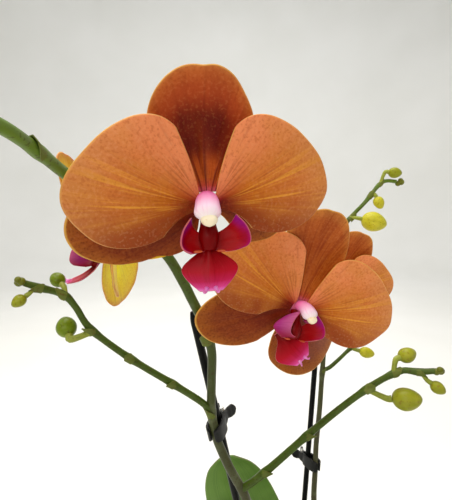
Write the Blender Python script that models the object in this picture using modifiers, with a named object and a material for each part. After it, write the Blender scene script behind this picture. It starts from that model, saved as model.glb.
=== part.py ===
"""A potted moth orchid: one plant with two flower spikes, staked and clipped, in a plain pot.

Run it with blender --background --python part.py. Metres, +Z up. The origin is the centre of the
pot's underside and the flowers face -Y. Lengths below are in millimetres and go through MM.
"""

import math

import bmesh
import bpy
from mathutils import Matrix, Vector

MM = 0.001
GAP = 0.35            # between pieces that touch

# ---- pot and what fills it
POT_HEIGHT = 118.0
POT_TOP_RADIUS = 61.0
POT_BASE_RADIUS = 43.0
POT_WALL = 3.0
POT_FLOOR = 4.0
RIM_HEIGHT = 13.0
RIM_STEP = 2.4        # how far the rim band stands out from the wall
DRAIN_HOLES = 6
DRAIN_RADIUS = 3.5
DRAIN_CIRCLE = 27.0
BARK_BELOW_RIM = 11.0

# ---- the plant's short stem
CROWN_RADIUS = 9.0
CROWN_TOP_RADIUS = 6.0
CROWN_BELOW_BARK = 25.0
CROWN_ABOVE_BARK = 26.0

# ---- stakes and clips
STAKE_RADIUS = 2.0
STAKE_TOP_ROUND = 1.2
STAKE_FOOT = 12.0     # height of a stake's foot above the pot's floor
CLIP_HEIGHT = 8.0
CLIP_WALL = 1.2
CLIP_PIN_RADIUS = 1.0
CLIP_SLACK = 0.55     # between the jaws and what they hold
CLIP_OPENS = 30.0     # degrees

# ---- flower, about the point where its tepals meet; it faces -Y with its dorsal sepal up
HUB_RADIUS = 2.6
HUB_HALF = 2.4
TEPAL_THICKNESS = 1.0
TEPAL_LAYER = 1.25    # petals stand this far in front of the hub's middle, sepals as far behind
COLUMN_LENGTH = 11.0
COLUMN_RADIUS = 2.9
COLUMN_TILT = 35.0    # degrees below the way the flower faces

LEAF_THICKNESS = 2.0
ROOT_RADIUS = 2.4
PEDICEL_RADIUS = 1.4

POT_INNER_TOP = POT_TOP_RADIUS - RIM_STEP - POT_WALL
BARK_TOP = POT_HEIGHT - BARK_BELOW_RIM
CROWN_FOOT = BARK_TOP - CROWN_BELOW_BARK
CROWN_TOP = BARK_TOP + CROWN_ABOVE_BARK


# The plant's points below were taken with the bark at this height, a crown of this radius and a
# pot of this radius. planted() and over_rim() carry them to the sizes set above.
DRAWN_BARK_TOP = 107.0
DRAWN_CROWN_RADIUS = 9.0
DRAWN_POT_RADIUS = 61.0
CROWN_REACH = 45.0    # how far above the bark the crown's size still moves what grows from it


def planted(points):
    """A point, or a row of points, of the plant: up with the bark, outwards with the crown."""
    if isinstance(points[0], tuple):
        return tuple(planted(p) for p in points)
    x, y, z = points
    lift = BARK_TOP - DRAWN_BARK_TOP
    near = min(1.0, max(0.0, 1.0 - (z - DRAWN_BARK_TOP - 14.0) / CROWN_REACH))
    grow = 1.0 + (CROWN_RADIUS - DRAWN_CROWN_RADIUS) * near / max(1.0, math.hypot(x, y))
    return (x * grow, y * grow, z + lift)


def over_rim(points):
    """A row of points of a root that leaves the pot: outwards with the rim."""
    moved = []
    for x, y, z in points:
        away = math.hypot(x, y)
        share = min(1.0, max(0.0, (away - 20.0) / (DRAWN_POT_RADIUS - 20.0)))
        grow = 1.0 + (POT_TOP_RADIUS - DRAWN_POT_RADIUS) * share / max(1.0, away)
        moved.append((x * grow, y * grow, z))
    return tuple(moved)


# ------------------------------------------------------------------ scene, collections, materials

def clear_scene():
    for obj in list(bpy.data.objects):
        bpy.data.objects.remove(obj, do_unlink=True)


def collection(name):
    made = bpy.data.collections.new(name)
    bpy.context.scene.collection.children.link(made)
    return made


def material(name, colour, roughness, metallic=0.0):
    made = bpy.data.materials.new(name)
    made.use_nodes = True
    shader = made.node_tree.nodes["Principled BSDF"]
    shader.inputs["Base Color"].default_value = (*colour, 1.0)
    shader.inputs["Roughness"].default_value = roughness
    shader.inputs["Metallic"].default_value = metallic
    return made


clear_scene()
PARTS = collection("potted_orchid")
CUTTERS = collection("cutters")

PETAL_ORANGE = material("petal_orange", (0.56, 0.16, 0.05), 0.55)
SEPAL_RUST = material("sepal_rust", (0.38, 0.08, 0.03), 0.55)
LIP_CRIMSON = material("lip_crimson", (0.36, 0.01, 0.02), 0.4)
COLUMN_PINK = material("column_pink", (0.85, 0.32, 0.52), 0.45)
STEM_GREEN = material("stem_green", (0.07, 0.10, 0.02), 0.5)
BUD_GREEN = material("bud_green", (0.22, 0.30, 0.03), 0.45)
LEAF_GREEN = material("leaf_green", (0.08, 0.18, 0.03), 0.4)
ROOT_SILVER = material("root_silver", (0.32, 0.36, 0.26), 0.75)
BARK_BROWN = material("bark_brown", (0.13, 0.06, 0.03), 0.9)
POT_WHITE = material("pot_white", (0.72, 0.70, 0.65), 0.45)
STAKE_BLACK = material("stake_black", (0.012, 0.012, 0.012), 0.35)
CLIP_BLACK = material("clip_black", (0.018, 0.018, 0.018), 0.4)
SPRING_STEEL = material("spring_steel", (0.6, 0.6, 0.6), 0.3, 1.0)


def vec(point):
    return Vector(point) * MM


def add_object(name, data, surface, group=None):
    obj = bpy.data.objects.new(name, data)
    (group or PARTS).objects.link(obj)
    if surface and not data.materials:
        data.materials.append(surface)
    if group is CUTTERS:
        obj.hide_render = True
        obj.display_type = "WIRE"
    return obj


def mesh_from(bm, name, smooth_degrees=40.0):
    mesh = bpy.data.meshes.new(name)
    bm.to_mesh(mesh)
    bm.free()
    mesh.shade_smooth()
    mesh.set_sharp_from_angle(angle=math.radians(smooth_degrees))
    return mesh


def boolean(obj, other, operation):
    cut = obj.modifiers.new(operation.lower() + "_" + other.name, "BOOLEAN")
    cut.operation = operation
    cut.object = other
    return cut


# ------------------------------------------------------------------ curves and tubes

def bezier(points, share):
    """The point at a share of the way along a cubic Bezier through four control points."""
    a, b, c, d = (Vector(p) for p in points)
    rest = 1.0 - share
    return (a * rest ** 3 + b * 3 * rest ** 2 * share
            + c * 3 * rest * share ** 2 + d * share ** 3)


def smooth_route(points, spacing):
    """(point, share of the way) along a Catmull-Rom curve through the points, about spacing apart."""
    p = [Vector(q) for q in points]
    p = [p[0] * 2 - p[1], *p, p[-1] * 2 - p[-2]]
    found = []
    spans = len(p) - 3
    for i in range(spans):
        a, b, c, d = p[i:i + 4]
        steps = max(1, round((c - b).length / spacing))
        for k in range(steps + (i == spans - 1)):
            t = k / steps
            at = 0.5 * (2 * b + (c - a) * t + (2 * a - 5 * b + 4 * c - d) * t * t
                        + (3 * b - a - 3 * c + d) * t ** 3)
            found.append((at, (i + t) / spans))
    return found


def tube(name, points, start_radius, end_radius, surface, spacing=9.0, group=None, extra=0.0):
    """A round stem along a smooth curve, tapering evenly, as a closed mesh object."""
    route = smooth_route(points, spacing)
    curve = bpy.data.curves.new(name, "CURVE")
    curve.dimensions = "3D"
    curve.bevel_depth = MM
    curve.bevel_resolution = 2
    curve.use_fill_caps = True
    line = curve.splines.new("POLY")
    line.points.add(len(route) - 1)
    for spot, (at, share) in zip(line.points, route):
        spot.co = (*(at * MM), 1.0)
        spot.radius = start_radius + (end_radius - start_radius) * share + extra
    drawn = bpy.data.objects.new(name + "_line", curve)
    CUTTERS.objects.link(drawn)
    bpy.context.view_layer.update()
    graph = bpy.context.evaluated_depsgraph_get()
    mesh = bpy.data.meshes.new_from_object(drawn.evaluated_get(graph))
    bpy.data.objects.remove(drawn, do_unlink=True)
    bm = bmesh.new()
    bm.from_mesh(mesh)
    bmesh.ops.remove_doubles(bm, verts=bm.verts, dist=0.00001)
    bmesh.ops.recalc_face_normals(bm, faces=bm.faces)
    bpy.data.meshes.remove(mesh)
    return add_object(name, mesh_from(bm, name, 60.0), surface, group)


def grown(stem, limbs):
    """Limbs that grew out of a stem, joined to it as one solid."""
    for limb in limbs:
        boolean(stem, limb, "UNION")
    return stem


# ------------------------------------------------------------------ pot, bark, crown

def turned(name, profile, steps, surface, group=None):
    """A profile of (radius, height) turned about Z. It starts and ends on the axis."""
    bm = bmesh.new()
    spots = [bm.verts.new((r * MM, 0.0, z * MM)) for r, z in profile]
    for a, b in zip(spots, spots[1:]):
        bm.edges.new((a, b))
    mesh = bpy.data.meshes.new(name)
    bm.to_mesh(mesh)
    bm.free()
    obj = add_object(name, mesh, surface, group)
    screw = obj.modifiers.new("turn", "SCREW")
    screw.steps = steps
    screw.render_steps = steps
    screw.use_merge_vertices = True
    screw.merge_threshold = 0.00001
    screw.use_smooth_shade = True
    return obj


def wall_radius(height):
    """The pot's outer radius below its rim band, at a height above its underside."""
    share = height / POT_HEIGHT
    return POT_BASE_RADIUS + (POT_TOP_RADIUS - RIM_STEP - POT_BASE_RADIUS) * share


def build_pot():
    rim_foot = POT_HEIGHT - RIM_HEIGHT
    floor_radius = wall_radius(POT_FLOOR) - POT_WALL
    pot = turned("pot", [
        (0.0, POT_FLOOR),
        (floor_radius, POT_FLOOR),
        (POT_INNER_TOP, POT_HEIGHT - 1.0),
        (POT_INNER_TOP + 1.0, POT_HEIGHT),
        (POT_TOP_RADIUS - 1.2, POT_HEIGHT),
        (POT_TOP_RADIUS, POT_HEIGHT - 1.2),
        (POT_TOP_RADIUS - 0.8, rim_foot + 1.0),
        (POT_TOP_RADIUS - 1.6, rim_foot),
        (wall_radius(rim_foot), rim_foot - 0.6),
        (wall_radius(2.0), 2.0),
        (POT_BASE_RADIUS - 1.6, 0.0),
        (0.0, 0.0),
    ], 40, POT_WHITE)
    for hole in range(DRAIN_HOLES):
        angle = math.tau * hole / DRAIN_HOLES
        bm = bmesh.new()
        bmesh.ops.create_cone(bm, cap_ends=True, segments=12, radius1=DRAIN_RADIUS * MM,
                              radius2=DRAIN_RADIUS * MM, depth=POT_FLOOR * 3 * MM)
        cutter = add_object(f"drain_{hole}", mesh_from(bm, f"drain_{hole}"), None, CUTTERS)
        cutter.location = vec((DRAIN_CIRCLE * math.cos(angle), DRAIN_CIRCLE * math.sin(angle),
                               POT_FLOOR / 2))
        boolean(pot, cutter, "DIFFERENCE")
    return pot


def build_bark(pockets):
    low = POT_FLOOR + GAP
    inset = POT_WALL + GAP + 0.15
    bark = turned("potting_bark", [
        (0.0, BARK_TOP),
        (22.0, BARK_TOP - 0.5),
        (40.0, BARK_TOP - 2.0),
        (wall_radius(BARK_TOP - 5.0) - inset - 1.0, BARK_TOP - 4.0),
        (wall_radius(low) - inset, low),
        (0.0, low),
    ], 24, BARK_BROWN)
    for pocket in pockets:
        boolean(bark, pocket, "DIFFERENCE")
    return bark


def build_crown():
    crown = turned("plant_crown", [
        (0.0, CROWN_TOP),
        (CROWN_TOP_RADIUS - 2.0, CROWN_TOP - 0.8),
        (CROWN_TOP_RADIUS, CROWN_TOP - 3.0),
        (CROWN_RADIUS, CROWN_TOP - 14.0),
        (CROWN_RADIUS, BARK_TOP - 4.0),
        (CROWN_RADIUS - 3.0, CROWN_FOOT),
        (0.0, CROWN_FOOT - 1.0),
    ], 16, STEM_GREEN)
    pocket = turned("crown_pocket", [
        (0.0, BARK_TOP + 5.0),
        (CROWN_RADIUS + GAP, BARK_TOP + 5.0),
        (CROWN_RADIUS + GAP, BARK_TOP - 4.5),
        (CROWN_RADIUS - 3.0 + GAP, CROWN_FOOT - GAP),
        (0.0, CROWN_FOOT - 1.0 - GAP),
    ], 16, None, CUTTERS)
    return crown, pocket


# ------------------------------------------------------------------ leaves, from a bent grid

LEAF_OUTLINE = ((0.0, 0.30), (0.10, 0.40), (0.30, 0.78), (0.55, 1.0), (0.78, 0.93), (0.93, 0.62),
                (1.0, 0.16))

# route: four Bezier points of the midrib; face: the way its upper side looks; half width; keel
LEAVES = {
    "leaf_upright": dict(route=((-1, 9.6, 124), (-14, 20, 155), (-44, 30, 200), (-47, 17, 239)),
                         face=(0.05, -1, 0.15), half_width=24.5, fold=0.20),
    "leaf_front": dict(route=((3.2, -9.0, 122), (16, -45, 168), (36, -104, 172), (50, -146, 122)),
                       face=(-0.1, 0.5, 1), half_width=32, fold=0.22),
    "leaf_back_left": dict(route=((-2.6, 10.2, 117), (-18, 44, 146), (-38, 88, 152), (-54, 124, 98)),
                           face=(0.3, -0.4, 1), half_width=30, fold=0.22),
    "leaf_left": dict(route=((-10.6, 0.6, 112), (-46, -3, 138), (-100, -8, 140), (-138, -14, 92)),
                      face=(0.5, 0, 1), half_width=29, fold=0.2),
    "leaf_right": dict(route=((10.5, -1.6, 109.5), (48, -5, 140), (98, -2, 138), (132, 6, 96)),
                       face=(-0.5, 0, 1), half_width=28, fold=0.2),
}


def along(table, share):
    """Reads a table of (share, value) with smooth steps between its rows."""
    for (s0, v0), (s1, v1) in zip(table, table[1:]):
        if share <= s1:
            t = max(0.0, (share - s0) / (s1 - s0))
            return v0 + (v1 - v0) * t
    return table[-1][1]


def build_leaf(name, route, face, half_width, fold):
    rows, columns = 12, 6
    route = planted(route)
    bm = bmesh.new()
    bmesh.ops.create_grid(bm, x_segments=columns, y_segments=rows, size=1.0)
    face = Vector(face)
    for vert in bm.verts:
        across, share = vert.co.x, (vert.co.y + 1.0) / 2.0
        at = bezier(route, share)
        tangent = (bezier(route, min(1.0, share + 0.01)) - bezier(route, max(0.0, share - 0.01)))
        tangent.normalize()
        side = tangent.cross(face).normalized()
        up = side.cross(tangent).normalized()
        width = half_width * along(LEAF_OUTLINE, share)
        lift = fold * width * (abs(across) - 0.45 * across * across)
        vert.co = (at + side * (across * width) + up * lift) * MM
    leaf = add_object(name, mesh_from(bm, name, 180.0), LEAF_GREEN)
    shell = leaf.modifiers.new("thickness", "SOLIDIFY")
    shell.thickness = LEAF_THICKNESS * MM
    shell.offset = 0.0
    return leaf


# ------------------------------------------------------------------ flowers

# outline: (degrees from the midrib, reach in mm); reach is read in between by cosine steps
PETAL = dict(outline=((-82, 19.5), (-60, 28), (-34, 32.5), (-10, 37), (8, 37), (26, 32),
                      (44, 23.5), (56, 14)),
             claw=1.5, neck=7.0, bow=2.6, cup=-0.0022, hood=-1.0)
DORSAL = dict(outline=((-50, 19), (-36, 30), (-20, 36), (0, 37), (20, 36), (36, 30), (50, 19)),
              claw=3.0, neck=9.0, bow=-2.4, cup=0.006, hood=5.0)
LATERAL = dict(outline=((-36, 21), (-22, 31), (-10, 38), (0, 40), (12, 37), (24, 30), (38, 20)),
               claw=1.9, neck=10.0, bow=1.2, cup=-0.004, hood=2.0)


def reach(outline, degrees):
    for (d0, r0), (d1, r1) in zip(outline, outline[1:]):
        if degrees <= d1:
            t = (degrees - d0) / (d1 - d0)
            t = 0.5 - 0.5 * math.cos(math.pi * max(0.0, t))
            return r0 + (r1 - r0) * t
    return outline[-1][1]


def tepal_mesh(name, shape, mirrored=False):
    """A petal or sepal with its midrib up Z and its face to -Y. Its veins fan out from the claw."""
    rows, columns = 6, 8
    bm = bmesh.new()
    bmesh.ops.create_grid(bm, x_segments=columns, y_segments=rows, size=1.0)
    first, last = shape["outline"][0][0], shape["outline"][-1][0]
    length = max(r for _, r in shape["outline"])
    for vert in bm.verts:
        fan, out = vert.co.x, (vert.co.y + 1.0) / 2.0
        degrees = first + (last - first) * (fan + 1.0) / 2.0
        radius = reach(shape["outline"], degrees)
        angle = math.radians(degrees)
        start = Vector((shape["claw"] * fan, 0.0))
        bend = Vector((shape["claw"] * fan * 2.2, shape["neck"]))
        end = Vector((radius * math.sin(angle), radius * math.cos(angle)))
        rest = 1.0 - out
        flat = start * rest ** 2 + bend * 2 * rest * out + end * out ** 2
        tip = max(0.0, flat.y / length)
        front = (shape["bow"] * math.sin(math.pi * min(1.0, tip * 0.95))
                 + shape["cup"] * flat.x ** 2 + shape["hood"] * tip ** 3)
        side = -flat.x if mirrored else flat.x
        vert.co = Vector((side, -front, flat.y + HUB_RADIUS + GAP)) * MM
    return mesh_from(bm, name, 180.0)


def turn(axis, degrees):
    return Matrix.Rotation(math.radians(degrees), 4, axis)


def flower_frame(at, yaw, pitch, roll):
    """yaw turns the face to +X, pitch bows it, roll leans the dorsal sepal to +X."""
    return (Matrix.Translation(vec(planted(at))) @ turn("Z", yaw) @ turn("X", pitch)
            @ turn("Y", roll))


def tepal(name, mesh, surface, frame, spread, sweep, layer, twist=0.0):
    """spread turns it in the flower's plane from straight up, sweep bends it back from the plane."""
    obj = add_object(name, mesh, surface)
    obj.matrix_world = (frame @ Matrix.Translation(vec((0, -layer, 0))) @ turn("Y", spread)
                        @ turn("X", -sweep) @ turn("Z", twist))
    shell = obj.modifiers.new("thickness", "SOLIDIFY")
    shell.thickness = TEPAL_THICKNESS * MM
    shell.offset = 0.0
    return obj


LIP_WIDTHS = ((0.0, 1.7), (0.30, 1.9), (0.48, 5.6), (0.62, 8.4), (0.76, 7.2), (0.90, 4.4),
              (1.0, 2.4))
LIP_LINE = ((0, -3.4, -8.6), (0, -5.2, -13.2), (0, -9.6, -18.6), (0, -17.5, -20.5))


def lip_lobe(name, side):
    """A side lobe of the lip, standing beside the column."""
    bm = bmesh.new()
    bmesh.ops.create_grid(bm, x_segments=5, y_segments=3, size=1.0)
    for vert in bm.verts:
        fan, out = vert.co.x, (vert.co.y + 1.0) / 2.0
        angle = math.radians(62.0 * fan)
        radius = 11.0 - 3.6 * fan * fan
        forward = out * radius * math.cos(angle)
        up = out * radius * math.sin(angle) + 1.1 * fan * (1 - out)
        outward = 1.2 + forward * 0.50 + 1.3 * math.sin(math.pi * out)
        vert.co = Vector((side * outward, -3.6 - forward * 0.80, -9.6 + up + forward * 0.30)) * MM
    mesh = mesh_from(bm, name, 180.0)
    obj = add_object(name, mesh, LIP_CRIMSON, CUTTERS)
    shell = obj.modifiers.new("thickness", "SOLIDIFY")
    shell.thickness = TEPAL_THICKNESS * 1.1 * MM
    shell.offset = 0.0
    return obj


def lip_mid(name):
    bm = bmesh.new()
    bmesh.ops.create_grid(bm, x_segments=4, y_segments=7, size=1.0)
    for vert in bm.verts:
        across, share = vert.co.x, (vert.co.y + 1.0) / 2.0
        at = bezier(LIP_LINE, share)
        width = along(LIP_WIDTHS, share)
        sag = 0.10 * width * across * across
        vert.co = (at + Vector((across * width, -0.35 * sag, 1.0 * sag))) * MM
    obj = add_object(name, mesh_from(bm, name, 180.0), LIP_CRIMSON, CUTTERS)
    shell = obj.modifiers.new("thickness", "SOLIDIFY")
    shell.thickness = TEPAL_THICKNESS * 1.2 * MM
    shell.offset = 0.0
    return obj


def solid_copy(obj, name):
    """The evaluated mesh of an object, in world space, as a new mesh."""
    bpy.context.view_layer.update()
    graph = bpy.context.evaluated_depsgraph_get()
    mesh = bpy.data.meshes.new_from_object(obj.evaluated_get(graph))
    mesh.name = name
    return mesh


def lip_mesh():
    bm = bmesh.new()
    bmesh.ops.create_uvsphere(bm, u_segments=8, v_segments=6, radius=2.1 * MM)
    bmesh.ops.translate(bm, verts=bm.verts, vec=vec((0, -2.4, -8.0)))
    base = add_object("lip_claw", mesh_from(bm, "lip_claw", 180.0), LIP_CRIMSON, CUTTERS)
    grown(base, [lip_mid("lip_mid"), lip_lobe("lip_left", -1), lip_lobe("lip_right", 1)])
    mesh = solid_copy(base, "lip")
    for name in ("lip_claw", "lip_mid", "lip_left", "lip_right"):
        bpy.data.objects.remove(bpy.data.objects[name], do_unlink=True)
    return mesh


def column_mesh():
    bm = bmesh.new()
    bmesh.ops.create_cone(bm, cap_ends=True, segments=12, radius1=HUB_RADIUS * MM,
                          radius2=HUB_RADIUS * MM, depth=2 * HUB_HALF * MM,
                          matrix=turn("X", 90))
    hub = add_object("hub", mesh_from(bm, "hub"), COLUMN_PINK, CUTTERS)
    bm = bmesh.new()
    bmesh.ops.create_uvsphere(bm, u_segments=10, v_segments=8, radius=MM)
    half = COLUMN_LENGTH / 2
    bmesh.ops.scale(bm, verts=bm.verts, vec=(COLUMN_RADIUS, COLUMN_RADIUS, half))
    bmesh.ops.transform(bm, verts=bm.verts,
                        matrix=turn("X", 90 + COLUMN_TILT) @ Matrix.Translation(vec((0, 0, half))))
    body = add_object("column_body", mesh_from(bm, "column_body"), COLUMN_PINK, CUTTERS)
    grown(hub, [body])
    mesh = solid_copy(hub, "column")
    for name in ("hub", "column_body"):
        bpy.data.objects.remove(bpy.data.objects[name], do_unlink=True)
    return mesh


# Where each flower is (mm), how it is turned, and how its own tepals lie. spread is from straight up
# for the dorsal sepal and from level, upwards, for the others; sweep is backwards out of the plane.
FLOWERS = {
    "flower_top": dict(at=(-55.7, -111.1, 418.3), yaw=14, pitch=12, roll=-3,
                       dorsal=(0, 7), petals=((10, -3, 0), (12, 2, 0)),
                       sepals=((-15, 6, 0), (-12, 30, 0))),
    "flower_low": dict(at=(-20.3, -74.8, 374.8), yaw=8, pitch=6, roll=16,
                       dorsal=(1, 3), petals=((21, 3, 0), (12, -4, 0)),
                       sepals=((-34, 8, 0), (-57, 22, 0))),
    "flower_rear": dict(at=(23.9, 24.1, 360.3), yaw=4, pitch=8, roll=18,
                        dorsal=(4, 2), petals=((6, 0, 0), (18, 0, 0)),
                        sepals=((-38, 8, 0), (-38, 8, 0))),
    "flower_side": dict(at=(-100.8, -63.8, 403.5), yaw=-77, pitch=4, roll=0,
                        dorsal=(0, 0), petals=((-6, 3, 0), (56, -16, 0)),
                        sepals=((-50, 5, 42), (-16, 6, 0))),
}


def build_flower(name, spec, meshes):
    frame = flower_frame(spec["at"], spec["yaw"], spec["pitch"], spec["roll"])
    lean, sweep = spec["dorsal"]
    tepal(name + "_dorsal_sepal", meshes["dorsal"], SEPAL_RUST, frame, lean, sweep, -TEPAL_LAYER)
    for side, label, (rise, sweep, twist) in zip((-1, 1), ("left", "right"), spec["petals"]):
        tepal(f"{name}_{label}_petal", meshes["petal_" + label], PETAL_ORANGE, frame,
              side * (90 - rise), sweep, TEPAL_LAYER, twist)
    for side, label, (rise, sweep, twist) in zip((-1, 1), ("left", "right"), spec["sepals"]):
        tepal(f"{name}_{label}_sepal", meshes["lateral_" + label], SEPAL_RUST, frame,
              side * (90 - rise), sweep, -TEPAL_LAYER, twist)
    for label, surface in (("column", COLUMN_PINK), ("lip", LIP_CRIMSON)):
        obj = add_object(f"{name}_{label}", meshes[label], surface)
        obj.matrix_world = frame


def build_flowers():
    meshes = {
        "dorsal": tepal_mesh("dorsal", DORSAL),
        "petal_left": tepal_mesh("petal_left", PETAL, mirrored=True),
        "petal_right": tepal_mesh("petal_right", PETAL),
        "lateral_left": tepal_mesh("lateral_left", LATERAL, mirrored=True),
        "lateral_right": tepal_mesh("lateral_right", LATERAL),
        "lip": lip_mesh(),
        "column": column_mesh(),
    }
    for name, spec in FLOWERS.items():
        build_flower(name, spec, meshes)


def back_of(flower, distance):
    """A point straight behind a flower's hub."""
    spec = FLOWERS[flower]
    frame = flower_frame(spec["at"], spec["yaw"], spec["pitch"], spec["roll"])
    at = frame @ vec((0, distance, 0))
    return tuple(at / MM)


# ------------------------------------------------------------------ spikes and buds

FRONT_SPIKE = ((-8.8, -8.8, 118), (-18, -18, 146), (-25, -30, 190), (-31, -42, 232),
               (-39.4, -48.5, 263.5), (-42.3, -49.2, 270.8), (-48.6, -50.0, 283.8),
               (-54.0, -49.9, 297), (-55.4, -51.0, 304), (-56.7, -52.1, 311), (-57.2, -54.2, 319),
               (-56.8, -58.3, 334.9),
               (-56.6, -63.4, 352), (-60.2, -68.4, 367), (-64.2, -72.8, 377.8), (-67.4, -76.0, 386),
               (-72.8, -79.8, 397), (-82.4, -88.4, 410.5), (-89.3, -95.8, 417.5),
               (-95, -103.4, 422.9), (-98.9, -110.8, 427.7), (-99.8, -123, 432),
               (-101, -138, 436), (-103, -156, 437), (-105, -172, 432), (-106.5, -184, 424))
REAR_SPIKE = ((9.9, 1.0, 121), (17, 9, 136), (21, 19, 160), (18, 27.5, 184), (16.6, 31, 194),
              (17.2, 32.4, 219), (17.6, 33.8, 237), (19.5, 35.2, 263), (21.0, 37.4, 290),
              (23.5, 41, 322), (29, 46, 362), (36.5, 49.5, 397), (42.5, 49.9, 407),
              (51.2, 49.3, 417), (59.5, 48.6, 428.5), (64.5, 48.2, 431.5), (71.5, 47.5, 431))
LEFT_BRANCH = ((-57.0, -53.6, 316), (-62.0, -57.5, 323.5), (-74, -65.5, 336.6), (-90, -74.5, 352.5),
               (-103.3, -81.5, 367.7), (-108, -84.4, 378), (-111.5, -86.4, 383.5),
               (-117.9, -90.4, 387), (-122.5, -93, 389.5))
RIGHT_BRANCH = ((-42.0, -49.2, 270), (-35, -50.6, 276.5), (-26.5, -52, 285.5), (-10, -54, 303.5),
                (4.5, -56.5, 319.0), (16.4, -58.6, 330.5), (24.5, -60.6, 337.5),
                (31, -62, 341.3), (37, -63.7, 341.5), (43.5, -66, 343))
REAR_BRANCH = ((21.3, 37.9, 293.5), (26.5, 39.4, 294.5), (33.5, 42, 299), (46, 46.5, 308.5),
               (56.5, 50, 314.5), (66, 52.5, 318.5), (72, 54, 322.5))

# buds: where the pedicel leaves, the bud's base, the way it points, length and width (mm)
BUDS = {
    "bud_left_1": dict(node=(-103, -81.4, 367.3), base=(-111.0, -84.6, 366.4), aim=(-0.45, 0.6, 0.5),
                       size=(9.0, 8.4), spike="front"),
    "bud_left_2": dict(node=(-111.0, -86.2, 383.2), base=(-113.2, -83.4, 386.6), aim=(-0.6, 0.5, 0.35),
                       size=(7.0, 6.0), spike="front"),
    "bud_left_3": dict(node=(-119.5, -91.3, 387.9), base=(-121.3, -94.2, 385.2), aim=(-0.6, -0.5, -0.5),
                       size=(5.4, 4.6), spike="front"),
    "bud_right_1": dict(node=(16.4, -58.6, 330.5), base=(26.4, -62.0, 327.5), aim=(0.9, -0.25, 0.12),
                        size=(13.0, 11.0), spike="front"),
    "bud_right_2": dict(node=(27.5, -61.2, 340), base=(30.2, -59.2, 346.0), aim=(0.85, 0.25, 0.2),
                        size=(9.0, 7.6), spike="front"),
    "bud_right_3": dict(node=(38.5, -64.2, 341.7), base=(41.5, -66.4, 337.8), aim=(0.75, -0.3, -0.5),
                        size=(7.0, 5.8), spike="front"),
    "bud_front_1": dict(node=(-103, -156, 437), base=(-98.5, -158.5, 433), aim=(0.55, -0.45, -0.6),
                        size=(9.5, 8.0), spike="front"),
    "bud_rear_1": dict(node=(40.8, 49.8, 405.5), base=(47.0, 45.6, 404.6), aim=(0.92, -0.1, -0.22),
                       size=(18.0, 15.0), spike="rear"),
    "bud_rear_2": dict(node=(54.8, 49, 421.8), base=(57.4, 47.4, 420.6), aim=(0.4, -0.1, -0.8),
                       size=(9.5, 8.0), spike="rear"),
    "bud_rear_3": dict(node=(61, 48.5, 430.2), base=(64.4, 46.0, 437.6), aim=(0.95, -0.05, -0.1),
                       size=(9.5, 8.0), spike="rear"),
    "bud_rear_branch": dict(node=(44.0, 45.8, 307.2), base=(50.2, 45.4, 305.4), aim=(0.96, -0.1, -0.22),
                            size=(11.5, 8.6), spike="rear"),
}
TIP_BUDS = {
    "left_tip": dict(spike="front", at=(-123.8, -93.7, 390.2), radius=2.1),
    "right_tip": dict(spike="front", at=(44.8, -66.5, 343.3), radius=2.4),
    "front_tip": dict(spike="front", at=(-106.8, -185.6, 422.8), radius=2.8),
    "rear_tip": dict(spike="rear", at=(73.8, 47.2, 430.6), radius=3.0),
    "rear_branch_tip": dict(spike="rear", at=(73.2, 54.3, 323.6), radius=2.2),
}


def build_bud(name, base, aim, size):
    """An egg of a bud: round at its base, drawn in towards its tip."""
    length, width = size
    bm = bmesh.new()
    bmesh.ops.create_uvsphere(bm, u_segments=10, v_segments=7, radius=1.0)
    for vert in bm.verts:
        share = (vert.co.z + 1.0) / 2.0
        slim = 1.0 - 0.30 * share * share
        vert.co = Vector((vert.co.x * width / 2 * slim, vert.co.y * width / 2 * slim,
                          share * length + GAP)) * MM
    bud = add_object(name, mesh_from(bm, name, 180.0), BUD_GREEN)
    bud.matrix_world = (Matrix.Translation(vec(base))
                        @ Vector(aim).to_track_quat("Z", "Y").to_matrix().to_4x4())


def pedicel(name, start, middle, before_end, end, radius=PEDICEL_RADIUS):
    return tube(name, (start, middle, before_end, end), radius, radius * 0.95, STEM_GREEN,
                spacing=8.0, group=CUTTERS)


def bud_pedicel(name, spec):
    start, end = Vector(planted(spec["node"])), Vector(planted(spec["base"]))
    aim = Vector(spec["aim"]).normalized()
    before = end - aim * 1.6
    middle = (start + before) / 2 - aim * 0.4
    thick = min(PEDICEL_RADIUS, 0.14 * spec["size"][1] + 0.2)
    return pedicel(name + "_pedicel", start, middle, before, end, thick)


def tip_bud(name, spec):
    bm = bmesh.new()
    bmesh.ops.create_uvsphere(bm, u_segments=8, v_segments=6, radius=spec["radius"] * MM)
    ball = add_object(name, mesh_from(bm, name, 180.0), BUD_GREEN, CUTTERS)
    ball.location = vec(planted(spec["at"]))
    return ball


def flower_pedicel(flower, start, middle):
    return pedicel(flower + "_pedicel", planted(start), planted(middle), back_of(flower, HUB_HALF + GAP + 4.0),
                   back_of(flower, HUB_HALF + GAP))


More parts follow.
